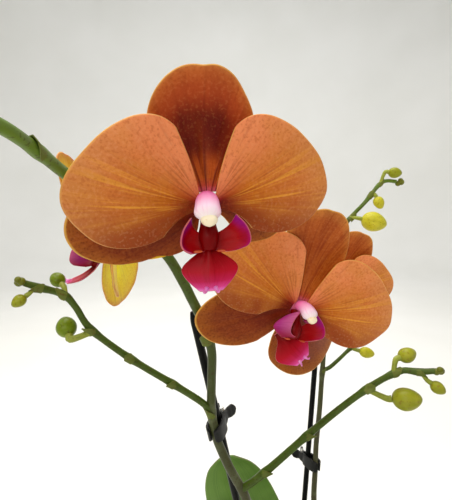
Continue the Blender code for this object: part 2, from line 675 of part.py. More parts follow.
def build_spikes():
    front = tube("front_spike", planted(FRONT_SPIKE), 2.75, 1.7, STEM_GREEN)
    rear = tube("rear_spike", planted(REAR_SPIKE), 2.3, 1.3, STEM_GREEN)
    front_limbs = [
        tube("left_branch", planted(LEFT_BRANCH), 1.7, 1.15, STEM_GREEN, group=CUTTERS),
        tube("right_branch", planted(RIGHT_BRANCH), 2.0, 1.3, STEM_GREEN, group=CUTTERS),
        flower_pedicel("flower_top", (-77.6, -84.1, 404), (-68, -88, 414)),
        flower_pedicel("flower_low", (-58.6, -66, 360), (-40, -57, 366)),
        flower_pedicel("flower_side", (-70.6, -78.0, 392), (-78, -70, 399)),
    ]
    rear_limbs = [
        tube("rear_branch", planted(REAR_BRANCH), 1.5, 1.0, STEM_GREEN, group=CUTTERS),
        flower_pedicel("flower_rear", (27, 44, 347), (26, 37, 354)),
    ]
    limbs = {"front": front_limbs, "rear": rear_limbs}
    for name, spec in BUDS.items():
        limbs[spec["spike"]].append(bud_pedicel(name, spec))
        build_bud(name, planted(spec["base"]), spec["aim"], spec["size"])
    for name, spec in TIP_BUDS.items():
        limbs[spec["spike"]].append(tip_bud(name, spec))
    grown(front, front_limbs)
    grown(rear, rear_limbs)


# ------------------------------------------------------------------ roots

ROOTS = {
    "root_front": ((-2.0, -9.6, 112.5), (-4, -22, 115), (-5, -34, 111), (-5.5, -42, 100),
                   (-5.5, -45, 88)),
    "root_back": ((5.4, 8.0, 112), (14, 19, 114), (10, 32, 112), (2, 39, 103), (0, 42, 91)),
    "root_over_rim": ((5.0, -8.2, 113), (15, -28, 118), (25, -46.5, 124.8), (31, -57, 121.6),
                      (34, -61.5, 108), (32.5, -59, 86), (29, -57, 68)),
}


def build_roots():
    pockets = []
    for name, drawn in ROOTS.items():
        route = planted(over_rim(drawn) if name == "root_over_rim" else drawn)
        tube(name, route, ROOT_RADIUS, ROOT_RADIUS * 0.8, ROOT_SILVER, spacing=8.0)
        pockets.append(tube(name + "_pocket", route, ROOT_RADIUS, ROOT_RADIUS * 0.8, None,
                            spacing=8.0, group=CUTTERS, extra=GAP * 1.4))
    return pockets


# ------------------------------------------------------------------ stakes

# two points on each stake's centre line
STAKES = {
    "front_stake": dict(top=(-65.6, -56.0, 367.2), low=(-44.2, -38.8, 254.6)),
    "rear_stake": dict(top=(19.4, 48.4, 319.0), low=(10.8, 36.6, 188.5)),
}


def stake_at(name, height):
    top, low = (Vector(planted(STAKES[name][end])) for end in ("top", "low"))
    return low + (top - low) * ((height - low.z) / (top.z - low.z))


def build_stake(name):
    foot, top = stake_at(name, POT_FLOOR + STAKE_FOOT), Vector(planted(STAKES[name]["top"]))
    lean = (top - foot).to_track_quat("Z", "Y").to_matrix().to_4x4()
    length = (top - foot).length
    made = []
    for label, extra in ((name, 0.0), (name + "_pocket", GAP)):
        bm = bmesh.new()
        bmesh.ops.create_cone(bm, cap_ends=True, segments=12, radius1=(STAKE_RADIUS + extra) * MM,
                              radius2=(STAKE_RADIUS + extra) * MM, depth=(length + extra) * MM)
        pocket = extra > 0.0
        obj = add_object(label, mesh_from(bm, label), None if pocket else STAKE_BLACK,
                         CUTTERS if pocket else None)
        centre = (foot + top) / 2 - (top - foot).normalized() * extra / 2
        obj.matrix_world = Matrix.Translation(vec(centre)) @ lean
        made.append(obj)
    return made[1]


# ------------------------------------------------------------------ clips

# height on the stake, the spike it holds there with that spike's radius, where the pin lies
CLIPS = {
    "front_clip": dict(stake="front_stake", height=304.0, stem=(-55.4, -51.0, 304.0), stem_radius=2.4),
    "rear_clip": dict(stake="rear_stake", height=221.5, stem=(17.2, 32.5, 220.5), stem_radius=1.95),
}


def clip_frame(spec):
    """Origin midway between stem and stake; X runs from the stem past the stake to the pin; Z up it."""
    stem = Vector(planted(spec["stem"]))
    stake = stake_at(spec["stake"], spec["height"] + BARK_TOP - DRAWN_BARK_TOP)
    up = (Vector(STAKES[spec["stake"]]["top"]) - Vector(STAKES[spec["stake"]]["low"])).normalized()
    side = stake - stem
    side = (side - up * side.dot(up)).normalized()
    near = spec["stem_radius"] + CLIP_SLACK
    far = STAKE_RADIUS + CLIP_SLACK
    half = ((stake - stem).length + near + far) / 2
    centre = stem + side * (half - near)
    frame = Matrix((side, up.cross(side), up)).transposed().to_4x4()
    frame.translation = centre * MM
    return frame, half, max(near, far)


def jaw_line(half, wide):
    """One jaw's middle line, seen down the stake: round the bundle, past the pin, out to its lever."""
    a, b = half + CLIP_WALL / 2, wide + CLIP_WALL / 2
    pin_clear = CLIP_PIN_RADIUS + GAP + CLIP_WALL / 2
    pin_x = a + 3.4
    line = []
    for step in range(9):
        cosine, sine = math.cos(math.radians(170 - step * 18)), math.sin(math.radians(170 - step * 18))
        line.append((a * math.copysign(abs(cosine) ** 0.7, cosine), b * sine ** 0.7))
    line += [(pin_x - 0.9, pin_clear), (pin_x + 0.9, pin_clear), (pin_x + 3.2, pin_clear + 1.3),
             (pin_x + 6.0, pin_clear + 3.0)]
    return line, pin_x


def build_clip(name, spec):
    frame, half, wide = clip_frame(spec)
    line, pin_x = jaw_line(half, wide)
    for label, side in (("fixed_jaw", 1), ("moving_jaw", -1)):
        bm = bmesh.new()
        low = [bm.verts.new(vec((x, y * side, -CLIP_HEIGHT / 2))) for x, y in line]
        edges = [bm.edges.new(pair) for pair in zip(low, low[1:])]
        made = bmesh.ops.extrude_edge_only(bm, edges=edges)["geom"]
        top = [v for v in made if isinstance(v, bmesh.types.BMVert)]
        bmesh.ops.translate(bm, verts=top, vec=vec((0, 0, CLIP_HEIGHT)))
        # the lever narrows towards its end, as a finger tab
        for vert in bm.verts:
            past = max(0.0, vert.co.x / MM - pin_x - 1.0)
            vert.co.z *= 1.0 - 0.07 * past
            vert.co.x -= pin_x * MM
        jaw = add_object(f"{name}_{label}", mesh_from(bm, f"{name}_{label}", 50.0), CLIP_BLACK)
        jaw.matrix_world = frame @ Matrix.Translation(vec((pin_x, 0, 0)))
        shell = jaw.modifiers.new("thickness", "SOLIDIFY")
        shell.thickness = CLIP_WALL * MM
        shell.offset = 0.0
        shell.use_even_offset = True
    bm = bmesh.new()
    bmesh.ops.create_cone(bm, cap_ends=True, segments=12, radius1=CLIP_PIN_RADIUS * MM,
                          radius2=CLIP_PIN_RADIUS * MM, depth=(CLIP_HEIGHT + 1.0) * MM)
    pin = add_object(name + "_spring_pin", mesh_from(bm, name + "_spring_pin"), SPRING_STEEL)
    pin.matrix_world = frame @ Matrix.Translation(vec((pin_x, 0, 0)))
    return frame, pin_x


# ------------------------------------------------------------------ build everything

def build():
    build_pot()
    crown, crown_pocket = build_crown()
    pockets = [crown_pocket]
    pockets += build_roots()
    pockets += [build_stake(name) for name in STAKES]
    build_bark(pockets)
    for name, spec in LEAVES.items():
        build_leaf(name, **spec)
    build_spikes()
    build_flowers()
    for name, spec in CLIPS.items():
        build_clip(name, spec)


build()
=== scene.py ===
import math
import random

import bmesh
import bpy
from mathutils import Matrix, Vector, noise


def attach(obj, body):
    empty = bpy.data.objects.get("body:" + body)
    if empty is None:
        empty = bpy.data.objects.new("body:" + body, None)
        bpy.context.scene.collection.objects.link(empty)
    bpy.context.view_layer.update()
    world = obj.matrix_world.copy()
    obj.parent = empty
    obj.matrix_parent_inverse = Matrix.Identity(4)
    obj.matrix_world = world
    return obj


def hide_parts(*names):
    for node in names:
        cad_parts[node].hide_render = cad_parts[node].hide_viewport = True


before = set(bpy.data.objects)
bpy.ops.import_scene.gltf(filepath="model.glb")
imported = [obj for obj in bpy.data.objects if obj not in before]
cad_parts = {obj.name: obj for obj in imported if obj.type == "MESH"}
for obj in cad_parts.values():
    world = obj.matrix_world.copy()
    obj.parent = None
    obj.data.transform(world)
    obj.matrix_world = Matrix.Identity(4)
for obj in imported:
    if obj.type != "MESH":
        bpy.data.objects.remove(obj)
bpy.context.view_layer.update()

# Potted moth orchid. Sizes in the dictionaries are millimetres, the scene is in metres.
mm = 0.001
gap = 0.35  # between pieces that touch


def point(xyz):
    return Vector(xyz) * mm


def shiftBy(*xyz):
    return Matrix.Translation(point(xyz))


def turnAbout(axis, degrees):
    return Matrix.Rotation(math.radians(degrees), 4, axis)


def mixNumber(a, b, share):
    return a + (b - a) * share


def bell(x, wide):
    return math.exp(-(x / wide) ** 2)


def bend(a, b, c, share):
    # a curve from a to c, drawn towards b
    return a * (1 - share) ** 2 + b * 2 * (1 - share) * share + c * share ** 2


def rail(*rows):
    return tuple((share, Vector(xyz)) for share, *xyz in rows)


def readTable(table, at):
    # smooth reading of (place, value) rows, values may be numbers or vectors
    if at <= table[0][0]:
        return table[0][1]
    for i in range(len(table) - 1):
        (x0, y0), (x1, y1) = table[i], table[i + 1]
        if at <= x1:
            xa, ya = table[max(0, i - 1)]
            xb, yb = table[min(len(table) - 1, i + 2)]
            t, wide = (at - x0) / (x1 - x0), x1 - x0
            leave, arrive = (y1 - ya) / (x1 - xa), (yb - y0) / (xb - x0)
            return (y0 * (2 * t ** 3 - 3 * t ** 2 + 1) + leave * (wide * (t ** 3 - 2 * t ** 2 + t))
                    + y1 * (3 * t ** 2 - 2 * t ** 3) + arrive * (wide * (t ** 3 - t ** 2)))
    return table[-1][1]


def ripple(x, y, seed):
    return noise.noise(Vector((x, y, seed * 7.31)))


# materials: each is named for what the real thing is made of and how its surface came about

def hexColour(code):
    parts = [int(code[i:i + 2], 16) / 255 for i in (1, 3, 5)]
    return (*[p / 12.92 if p <= 0.04045 else ((p + 0.055) / 1.055) ** 2.4 for p in parts], 1.0)


def addNode(tree, kind, settings=(), links=()):
    # adds a node with its settings and links, and gives back its outputs
    node = tree.nodes.new("ShaderNode" + kind)
    for key, value in dict(settings).items():
        if key == "stops":
            ramp = node.color_ramp
            ramp.elements[0].position, ramp.elements[1].position = value[0][0], value[-1][0]
            for at, code in value[1:-1]:
                ramp.elements.new(at)
            for element, (at, code) in zip(ramp.elements, value):
                element.color = hexColour(code)
        elif isinstance(key, int) or key in node.inputs:
            node.inputs[key].default_value = value
        else:
            setattr(node, key, value)
    for key, source in dict(links).items():
        tree.links.new(source, node.inputs[key])
    return node.outputs


def newMaterial(name, settings):
    surface = bpy.data.materials.new(name)
    surface.use_nodes = True
    tree = surface.node_tree
    for key, value in settings.items():
        tree.nodes["Principled BSDF"].inputs[key].default_value = value
    return surface, tree, addNode(tree, "TexCoord")["Object"]


def finished(surface, colour, height, depth, strength):
    # gives the shader its colour, and its relief from a height that stands for depth millimetres
    tree = surface.node_tree
    shader = tree.nodes["Principled BSDF"]
    bump = addNode(tree, "Bump", {"Distance": depth * mm, "Strength": strength}, {"Height": height})
    tree.links.new(colour, shader.inputs["Base Color"])
    tree.links.new(bump[0], shader.inputs["Normal"])
    return surface


def masked(tree, amount, *masks):
    # amount where every mask is full: a mask is a value that fades in from low to high, or a socket
    strength = None
    for mask in masks:
        if isinstance(mask, tuple):
            value, low, high, start, end = mask if len(mask) == 5 else (*mask, 0.0, 1.0)
            mask = addNode(tree, "MapRange", {"interpolation_type": "SMOOTHSTEP", 1: low, 2: high,
                                              3: start, 4: end}, {0: value})[0]
        strength = addNode(tree, "Math", {"operation": "MULTIPLY", 1: amount},
                           {0: mask, 1: strength} if strength else {0: mask})[0]
    return strength


def layOver(tree, under, code, amount, *masks):
    # lays a colour over another through masks
    return addNode(tree, "Mix", {"data_type": "RGBA", 7: hexColour(code)},
                   {0: masked(tree, amount, *masks), 6: under})[2]


def fanPlace(tree):
    # a sheet's own UV: x across it, y from its root outwards
    uv = addNode(tree, "UVMap", {"uv_map": "fan"})[0]
    return uv, *addNode(tree, "SeparateXYZ", links={0: uv})[:2]


def fromMiddle(tree, across, middle=0.5):
    off = addNode(tree, "Math", {"operation": "SUBTRACT", 1: middle}, {0: across})[0]
    return addNode(tree, "Math", {"operation": "ABSOLUTE"}, {0: off})[0]


def streaks(tree, uv, across, along, detail, distortion=0.0):
    # noise drawn out along the way out of a sheet
    drawn = addNode(tree, "VectorMath", {"operation": "MULTIPLY", 1: (across, along, 1.0)}, {0: uv})[0]
    return addNode(tree, "TexNoise", {"Scale": 1.0, "Detail": detail, "Distortion": distortion}, {0: drawn})[0]


def tepalMaterial(name, outward, sides, cloud, veins, veinColour, veinFade, stipple, fleck, rim,
                  inner=None, middle=None, gold=None, roughness=0.5):
    # living petal tissue: soft sheen from the cell bumps, veins fanning out from the claw,
    # a fine stipple of darker cells, a thin pale edge
    surface, tree, place = newMaterial(name, {
        "Roughness": roughness, "Specular IOR Level": 0.12, "Subsurface Weight": 0.10,
        "Subsurface Scale": 0.002, "Subsurface Radius": (1.0, 0.35, 0.15)})
    uv, across, out = fanPlace(tree)
    colour = addNode(tree, "ValToRGB", {"stops": outward}, {0: out})[0]
    # sides rows lay a lighter or darker tone over one side of the blade across its width; on the petals it is
    # painted light on the upper half and painted shade on the lower half
    for code, low, high, amount in sides:
        colour = layOver(tree, colour, code, amount, (across, low, high))
    if inner:
        # painted shade on the lower half by the claw, where the column and lip shade the blade
        code, low, high, far, near = inner
        colour = layOver(tree, colour, code, 0.85, (across, low, high), (out, far, near))
    if middle:
        # painted shade across the middle, where the hood of the dorsal sepal lies in shade
        code, side, inside, start, full, end, fade = middle
        colour = layOver(tree, colour, code, 0.92, (fromMiddle(tree, across), side, inside),
                         (out, start, full), (out, end, fade))
    # cloudy change of tone, about 12 mm across
    patch = addNode(tree, "TexNoise", {"Scale": 85.0, "Detail": 2.0}, {0: place})[0]
    colour = layOver(tree, colour, cloud[0], cloud[1], (patch, 0.42, 0.72))
    # veins: coarse ones about 1.5 mm apart, drawn coarser than real to show, and fine ones between
    ridges = None
    for wide, long, low, high, amount in veins:
        streak = streaks(tree, uv, wide, long, 1.0, 0.15)
        colour = layOver(tree, colour, veinColour, amount, (streak, low, high),
                         (out, 0.15, 0.95, 1.0, veinFade))
        ridges = ridges or masked(tree, amount, (streak, low, high))
    if gold:
        # golden rays over the middle of the blade
        rays = streaks(tree, uv, 44.0, 1.8, 1.0)
        colour = layOver(tree, colour, gold, 0.55, (fromMiddle(tree, across, 0.56), 0.26, 0.06),
                         (rays, 0.55, 0.30), (out, 0.12, 0.45), (out, 1.0, 0.72, 0.45, 1.0))
    # cells, drawn at 0.9 mm to show
    grain = addNode(tree, "TexNoise", {"Scale": 1150.0, "Detail": 2.0}, {0: place})[0]
    colour = layOver(tree, colour, stipple[0], stipple[1], (grain, 0.54, 0.68))
    colour = layOver(tree, colour, fleck[0], fleck[1], (grain, 0.47, 0.34), out)
    code, start, amount = rim
    edge = addNode(tree, "Math", {"operation": "MAXIMUM"}, {
        0: masked(tree, 1.0, (out, start, 0.999)),
        1: masked(tree, 0.8, (fromMiddle(tree, across), 0.488, 0.5))})[0]
    colour = layOver(tree, colour, code, amount, edge)
    relief = addNode(tree, "Math", {"operation": "MULTIPLY_ADD", 1: 0.25}, {0: grain, 2: ridges})[0]
    return finished(surface, colour, relief, 0.25, 0.5)


petalLooks = dict(
    outward=((0.0, "#a80c34"), (0.10, "#981c10"), (0.20, "#ac440e"), (0.46, "#c06818"), (0.78, "#cc7434"),
             (1.0, "#d88c50")),
    # sides: painted light on the upper half of the petal, painted shade on the lower half
    sides=(("#ea8a5a", 0.46, 0.02, 0.9), ("#8c3a10", 0.50, 0.92, 0.95)),
    # inner: painted shade on the lower half by the claw
    inner=("#640c02", 0.28, 0.62, 0.46, 0.10), gold="#eaa838", cloud=("#cc8030", 0.45),
    veins=((26.0, 1.6, 0.50, 0.70, 0.50), (80.0, 3.0, 0.52, 0.72, 0.38)), veinColour="#8c2f12",
    veinFade=0.22, stipple=("#a8441c", 0.30), fleck=("#eeb080", 0.14), rim=("#e0a860", 0.985, 0.5))
dorsalLooks = dict(
    # the outward ramp's darker middle and lighter top are partly painted shade and painted light on the hood,
    # partly the sepal's own pink base and orange
    outward=((0.0, "#e86a90"), (0.10, "#d0503c"), (0.20, "#c05a1c"), (0.40, "#b04c14"), (0.55, "#a43a16"),
             (0.76, "#a03814"), (0.90, "#ac481c"), (0.97, "#bc6028"), (1.0, "#c87c3c")),
    # middle: painted shade across the hood
    sides=(), middle=("#540400", 0.40, 0.12, 0.34, 0.52, 0.88, 0.70), cloud=("#b04c1c", 0.25),
    veins=((16.0, 1.3, 0.47, 0.62, 0.75), (56.0, 2.5, 0.52, 0.7, 0.4)), veinColour="#5c0802",
    veinFade=0.2, stipple=("#8c2a10", 0.3), fleck=("#dc8c50", 0.14), rim=("#d89850", 0.985, 0.5))
dorsalPaleLooks = dict(
    outward=((0.0, "#e87098"), (0.10, "#d0583c"), (0.22, "#c4682c"), (0.45, "#b4581c"), (0.7, "#a84c18"),
             (0.92, "#b45c24"), (1.0, "#cc843c")),
    sides=(), cloud=("#c06c28", 0.35), veins=((18.0, 1.3, 0.47, 0.62, 0.5), (56.0, 2.5, 0.50, 0.7, 0.5)),
    veinColour="#7c2408", veinFade=0.7, stipple=("#8c3410", 0.3), fleck=("#dc9050", 0.14),
    rim=("#dca050", 0.985, 0.6))
lateralLooks = dict(
    outward=((0.0, "#b02040"), (0.10, "#84180c"), (0.3, "#742004"), (0.6, "#7c2c08"), (0.85, "#84380c"),
             (1.0, "#a8601c")),
    sides=(("#9c5014", 0.70, 1.0, 0.5),), cloud=("#944410", 0.5),
    veins=((22.0, 1.5, 0.48, 0.66, 0.6), (70.0, 3.0, 0.5, 0.7, 0.4)), veinColour="#5e1806", veinFade=0.35,
    stipple=("#5c1a08", 0.5), fleck=("#b06838", 0.2), rim=("#e0b050", 0.98, 0.7), roughness=0.42)
backLooks = dict(
    outward=((0.0, "#c8b828"), (0.2, "#f4dc24"), (0.6, "#ffec2c"), (0.92, "#f4cc24"), (1.0, "#d07828")),
    sides=(("#dcaa1c", 0.55, 1.0, 0.5),), cloud=("#f0c01c", 0.35),
    veins=((18.0, 1.2, 0.5, 0.7, 0.35), (60.0, 2.5, 0.52, 0.7, 0.2)), veinColour="#a86a14", veinFade=0.5,
    stipple=("#c88420", 0.3), fleck=("#f8e860", 0.3), rim=("#c8642a", 0.98, 0.6))
petalFace = tepalMaterial("petalFaceLivingTissue", **petalLooks)
dorsalFace = tepalMaterial("dorsalFaceLivingTissue", **dorsalLooks)
dorsalPaleFace = tepalMaterial("dorsalPaleFaceLivingTissue", **dorsalPaleLooks)
lateralFace = tepalMaterial("lateralFaceLivingTissue", **lateralLooks)
tepalBack = tepalMaterial("tepalBackLivingTissue", **backLooks)


def lipMaterial(name, streak, *outward, over=(), corner=()):
    # lip tissue: waxy and glossy, deep crimson, purple towards its edges
    surface, tree, place = newMaterial(name, {
        "Roughness": 0.32, "Specular IOR Level": 0.10, "Subsurface Weight": 0.05,
        "Subsurface Scale": 0.001, "Subsurface Radius": (1.0, 0.2, 0.2)})
    uv, across, out = fanPlace(tree)
    colour = addNode(tree, "ValToRGB", {"stops": outward}, {0: out})[0]
    for code, low, high, amount in over:
        colour = layOver(tree, colour, code, amount, (across, low, high))
    for code, low, high, outLow, outHigh in corner:
        colour = layOver(tree, colour, code, 1.0, (across, low, high), (out, outLow, outHigh))
    lines = streaks(tree, uv, 22.0, 2.0, 2.0)
    colour = layOver(tree, colour, streak, 0.35, (lines, 0.5, 0.75))
    grain = addNode(tree, "TexNoise", {"Scale": 900.0, "Detail": 2.0}, {0: place})[0]
    relief = addNode(tree, "Math", {"operation": "MULTIPLY_ADD", 1: 0.3}, {0: grain, 2: lines})[0]
    return finished(surface, colour, relief, 0.2, 0.4)


lobeInside = lipMaterial("sideLobeInsideTissue", "#780004", (0.0, "#640002"), (0.30, "#980004"),
                         (0.62, "#a00008"), (0.86, "#a00430"), (1.0, "#a00c60"),
                         corner=(("#8c0878", 0.58, 0.98, 0.68, 0.97),))
lobeOutside = lipMaterial("sideLobeOutsideTissue", "#780c48", (0.0, "#8c0c30"), (0.40, "#a02450"),
                          (0.75, "#a42c7c"), (1.0, "#c05c8c"), over=(("#901424", 0.60, 0.10, 0.8),))
midInside = lipMaterial("midLobeInsideTissue", "#8c0410", (0.0, "#600002"), (0.30, "#7c0002"),
                        (0.50, "#980410"), (0.68, "#b00c22"), (0.84, "#bc1c4c"), (0.94, "#d44088"),
                        (1.0, "#ec80cc"))
midOutside = lipMaterial("midLobeOutsideTissue", "#901850", (0.0, "#8c1430"), (0.5, "#a82060"),
                         (0.85, "#c050a0"), (1.0, "#e090d8"))
pistilPink = lipMaterial("columnWaxyTissue", "#f480bc", (0.0, "#c83864"), (0.14, "#ee64a4"),
                         (0.34, "#fa7cc0"), (0.55, "#fca8d4"), (0.78, "#fddcf0"), (1.0, "#fff4f0"))
hubTissue = lipMaterial("receptacleWaxyTissue", "#983058", (0.0, "#a83860"), (0.5, "#c05878"),
                        (1.0, "#c86878"))
clawRed = lipMaterial("lipClawTissue", "#640002", (0.0, "#740002"), (1.0, "#880006"))


def grainMaterial(name, settings, stops, scale, depth, detail=4.0, stretch=(1.0, 1.0, 1.0), strength=0.6):
    # one grain pattern on Object coordinates for colour and relief
    surface, tree, place = newMaterial(name, settings)
    placed = addNode(tree, "Mapping", {"Scale": stretch}, {0: place})[0]
    grain = addNode(tree, "TexNoise", {"Scale": scale, "Detail": detail}, {0: placed})[0]
    colour = addNode(tree, "ValToRGB", {"stops": stops}, {0: grain})[0]
    return finished(surface, colour, grain, depth, strength)


def edgeMaterial(name, code, other, roughness=0.5):
    # the cut edge of the tissue, or a small moist part of it: a little uneven
    return grainMaterial(name, {"Roughness": roughness, "Specular IOR Level": 0.3, "Subsurface Weight": 0.2,
                                "Subsurface Scale": 0.001},
                         ((0.35, code), (0.7, other)), 220.0, 0.1, 2.0, strength=0.4)


tepalEdge = edgeMaterial("tepalEdgeTissue", "#dcac50", "#c88838")
lipEdge = edgeMaterial("lipEdgeTissue", "#c86a60", "#b84a7a", 0.35)
# the callus's orange is partly its own colour and partly painted highlight
callusRed = edgeMaterial("callusWaxyTissue", "#b03418", "#d86a3c", 0.22)
whiskerPink = edgeMaterial("whiskerTissue", "#d868b4", "#f0a8dc", 0.3)
stigmaDark = edgeMaterial("stigmaMoistTissue", "#9c3468", "#7c1c40", 0.2)


def stemMaterial(name, low, middle, high, spots, bloomAndSheen, gloss=0.42):
    # living stem: waxy skin, its tone changes with height; small reddish freckles, and pale patches that are
    # partly a waxy bloom and partly painted sheen
    surface, tree, place = newMaterial(name, {"Roughness": gloss, "Specular IOR Level": 0.2,
                                              "Subsurface Weight": 0.04, "Subsurface Scale": 0.001})
    height = addNode(tree, "SeparateXYZ", links={0: place})[2]
    height = addNode(tree, "MapRange", {1: 0.10, 2: 0.45}, {0: height})[0]
    colour = addNode(tree, "ValToRGB", {"stops": ((0.0, low), *middle, (1.0, high))}, {0: height})[0]
    patch = addNode(tree, "TexNoise", {"Scale": 120.0, "Detail": 3.0}, {0: place})[0]
    # pale patches: partly a waxy bloom, partly painted sheen
    colour = layOver(tree, colour, bloomAndSheen, 0.55, (patch, 0.5, 0.75))
    freckle = addNode(tree, "TexNoise", {"Scale": 900.0, "Detail": 1.0}, {0: place})[0]
    colour = layOver(tree, colour, spots, 0.5, (freckle, 0.60, 0.68))
    return finished(surface, colour, freckle, 0.12, 0.35)


# the flower stem's top stop is lightened partly as painted highlight on the upper stem
stemGreen = stemMaterial(
    "flowerStemWaxySkin", "#4a4630", ((0.3, "#46442c"), (0.55, "#424426"), (0.7, "#3c4618"), (0.85, "#46581a")),
    "#6c8a2c", "#3c2810", "#646a4a")
branchGreen, bractGreen, pedicelPale, budOlive, budLime, budYellow, tipGreen, antherCream, crownGreen = (
    stemMaterial(name, low, (middle,), high, spots, bloomAndSheen, gloss)
    for name, low, middle, high, spots, bloomAndSheen, gloss in (
        ("flowerBranchWaxySkin", "#3c4a12", (0.6, "#3e5010"), "#4a5a18", "#3c280e", "#5c7030", 0.42),
        ("stemBractDrySheath", "#4c5220", (0.6, "#566022"), "#66702c", "#5c3414", "#7c8440", 0.6),
        ("pedicelWaxySkin", "#707828", (0.7, "#848c30"), "#9ca444", "#6c6c30", "#a8ac5c", 0.42),
        ("budOliveWaxySkin", "#70820f", (0.7, "#6c800f"), "#687a0e", "#54500c", "#98ac30", 0.3),
        ("budLimeWaxySkin", "#84881c", (0.6, "#8a8c1e"), "#90941e", "#7c5c18", "#a8a434", 0.3),
        ("budYellowWaxySkin", "#8c9014", (0.6, "#b4b024"), "#c4bc30", "#8c7c18", "#dcd248", 0.3),
        ("tipBudWaxySkin", "#585c18", (0.6, "#5c6018"), "#6c701c", "#4c3c14", "#848834", 0.34),
        ("antherCapWaxyTissue", "#fae8c0", (0.7, "#fcecc8"), "#fff0d4", "#f0d098", "#fffaf0", 0.36),
        ("crownWaxySkin", "#5c6c30", (0.5, "#64783a"), "#708440", "#6c5430", "#7c8450", 0.5)))


def leafMaterial(name, light, dark, veinAndGrooveShade, gloss):
    # thick waxy leaf: cuticle gloss, fine parallel veins, painted shade down the middle groove
    surface, tree, place = newMaterial(name, {"Roughness": gloss, "Specular IOR Level": 0.3})
    uv, across, out = fanPlace(tree)
    patch = addNode(tree, "TexNoise", {"Scale": 40.0, "Detail": 3.0}, {0: place})[0]
    colour = addNode(tree, "ValToRGB", {"stops": ((0.3, dark), (0.7, light))}, {0: patch})[0]
    off = fromMiddle(tree, across)
    lines = streaks(tree, uv, 60.0, 1.5, 2.0)
    # rows: painted shade down the middle groove, the fine veins, the brownish edge
    for code, amount, mask in ((veinAndGrooveShade, 0.7, (off, 0.035, 0.0)), (veinAndGrooveShade, 0.35, (lines, 0.5, 0.72)),
                               ("#4c2c24", 0.5, (off, 0.488, 0.5))):
        colour = layOver(tree, colour, code, amount, mask)
    pores = addNode(tree, "TexNoise", {"Scale": 700.0, "Detail": 2.0}, {0: place})[0]
    relief = addNode(tree, "Math", {"operation": "MULTIPLY_ADD", 1: 0.3}, {0: pores, 2: lines})[0]
    return finished(surface, colour, relief, 0.25, 0.5)


leafFace = leafMaterial("leafUpperWaxyCuticle", "#66883a", "#4c6e24", "#3a5420", 0.36)
leafBack = leafMaterial("leafUnderWaxyCuticle", "#6c8848", "#587434", "#48622e", 0.5)

# glazed earthenware: white, glossy, the glaze pooling in waves a few centimetres wide
glazeWhite = grainMaterial("potGlazedEarthenware", {"Roughness": 0.18, "IOR": 1.5, "Coat Weight": 0.4,
                                                    "Coat Roughness": 0.06},
                           ((0.3, "#d8d5cc"), (0.7, "#e6e3da")), 28.0, 0.25)
# black PVC skin drawn over a wire core: smooth, faint lengthwise drawing lines
stakeBlack = grainMaterial("stakeDrawnVinylSkin", {"Roughness": 0.4, "Specular IOR Level": 0.10},
                           ((0.35, "#080808"), (0.7, "#0e0e0e")), 400.0, 0.08, 2.0, (1.0, 1.0, 0.05))
# moulded polypropylene: black, satin, a fine spark-eroded grain
clipBlack = grainMaterial("clipMouldedPolypropylene", {"Roughness": 0.4, "Specular IOR Level": 0.22},
                          ((0.35, "#0e0e0d"), (0.7, "#1a1a19")), 1400.0, 0.06)
# music wire: bright drawn steel
springSteel = grainMaterial("springDrawnSteelWire", {"Roughness": 0.25, "Metallic": 1.0},
                            ((0.35, "#b4b4b0"), (0.7, "#d0d0cc")), 900.0, 0.03, 2.0)
# velamen, the dead silver skin of an air root
rootSilver = grainMaterial("rootVelamenSkin", {"Roughness": 0.8},
                           ((0.3, "#6c7850"), (0.45, "#9aa088"), (0.7, "#bcbfac")), 320.0, 0.3)
rootTip = grainMaterial("rootTipLivingSkin", {"Roughness": 0.4}, ((0.3, "#5c7828"), (0.7, "#8ca040")),
                        300.0, 0.15)
# pine bark, broken and weathered
barkBrown = grainMaterial("pineBarkBroken", {"Roughness": 0.88},
                          ((0.28, "#2c1a10"), (0.5, "#5c3a22"), (0.75, "#8c6440")), 180.0, 0.8,
                          6.0, (1.0, 1.0, 3.0))
# matt paper with a faint cloud
paper = grainMaterial("backdropMattPaper", {"Roughness": 0.95, "Specular IOR Level": 0.1},
                      ((0.3, "#eeeeeb"), (0.7, "#f3f3f1")), 3.0, 0.0, 2.0)
print("materials ready")


# what every piece is made with

def inScene(name, data):
    made = bpy.data.objects.new(name, data)
    bpy.context.scene.collection.objects.link(made)
    return made


def meshObject(name, bm, surfaces, angle=180):
    mesh = bpy.data.meshes.new(name)
    bm.to_mesh(mesh)
    bm.free()
    mesh.shade_smooth()
    if angle < 180:
        mesh.set_sharp_from_angle(angle=math.radians(angle))
    for surface in surfaces:
        mesh.materials.append(surface)
    return inScene(name, mesh)


def addPiece(name, bm, surfaces, stands=(), place=None, body="plant", angle=180):
    if place is not None:
        bmesh.ops.transform(bm, verts=bm.verts, matrix=place)
    piece = meshObject(name, bm, surfaces, angle)
    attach(piece, body)
    if stands:
        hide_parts(*stands)
    return piece


def joinPart(bm, part, index):
    # adds a finished part to a piece, with its own material
    for face in part.faces:
        face.material_index = index
    mesh = bpy.data.meshes.new("part")
    part.to_mesh(mesh)
    part.free()
    bm.from_mesh(mesh)
    bpy.data.meshes.remove(mesh)


def gridWithUv(columns, rows):
    # a flat grid, x from -1 to 1 and y from 0 to 1, that keeps both as its UV
    bm = bmesh.new()
    bmesh.ops.create_grid(bm, x_segments=columns, y_segments=rows, size=1.0)
    layer = bm.loops.layers.uv.new("fan")
    for face in bm.faces:
        for loop in face.loops:
            loop[layer].uv = ((loop.vert.co.x + 1) / 2, (loop.vert.co.y + 1) / 2)
    for vert in bm.verts:
        vert.co.y = (vert.co.y + 1) / 2
    return bm


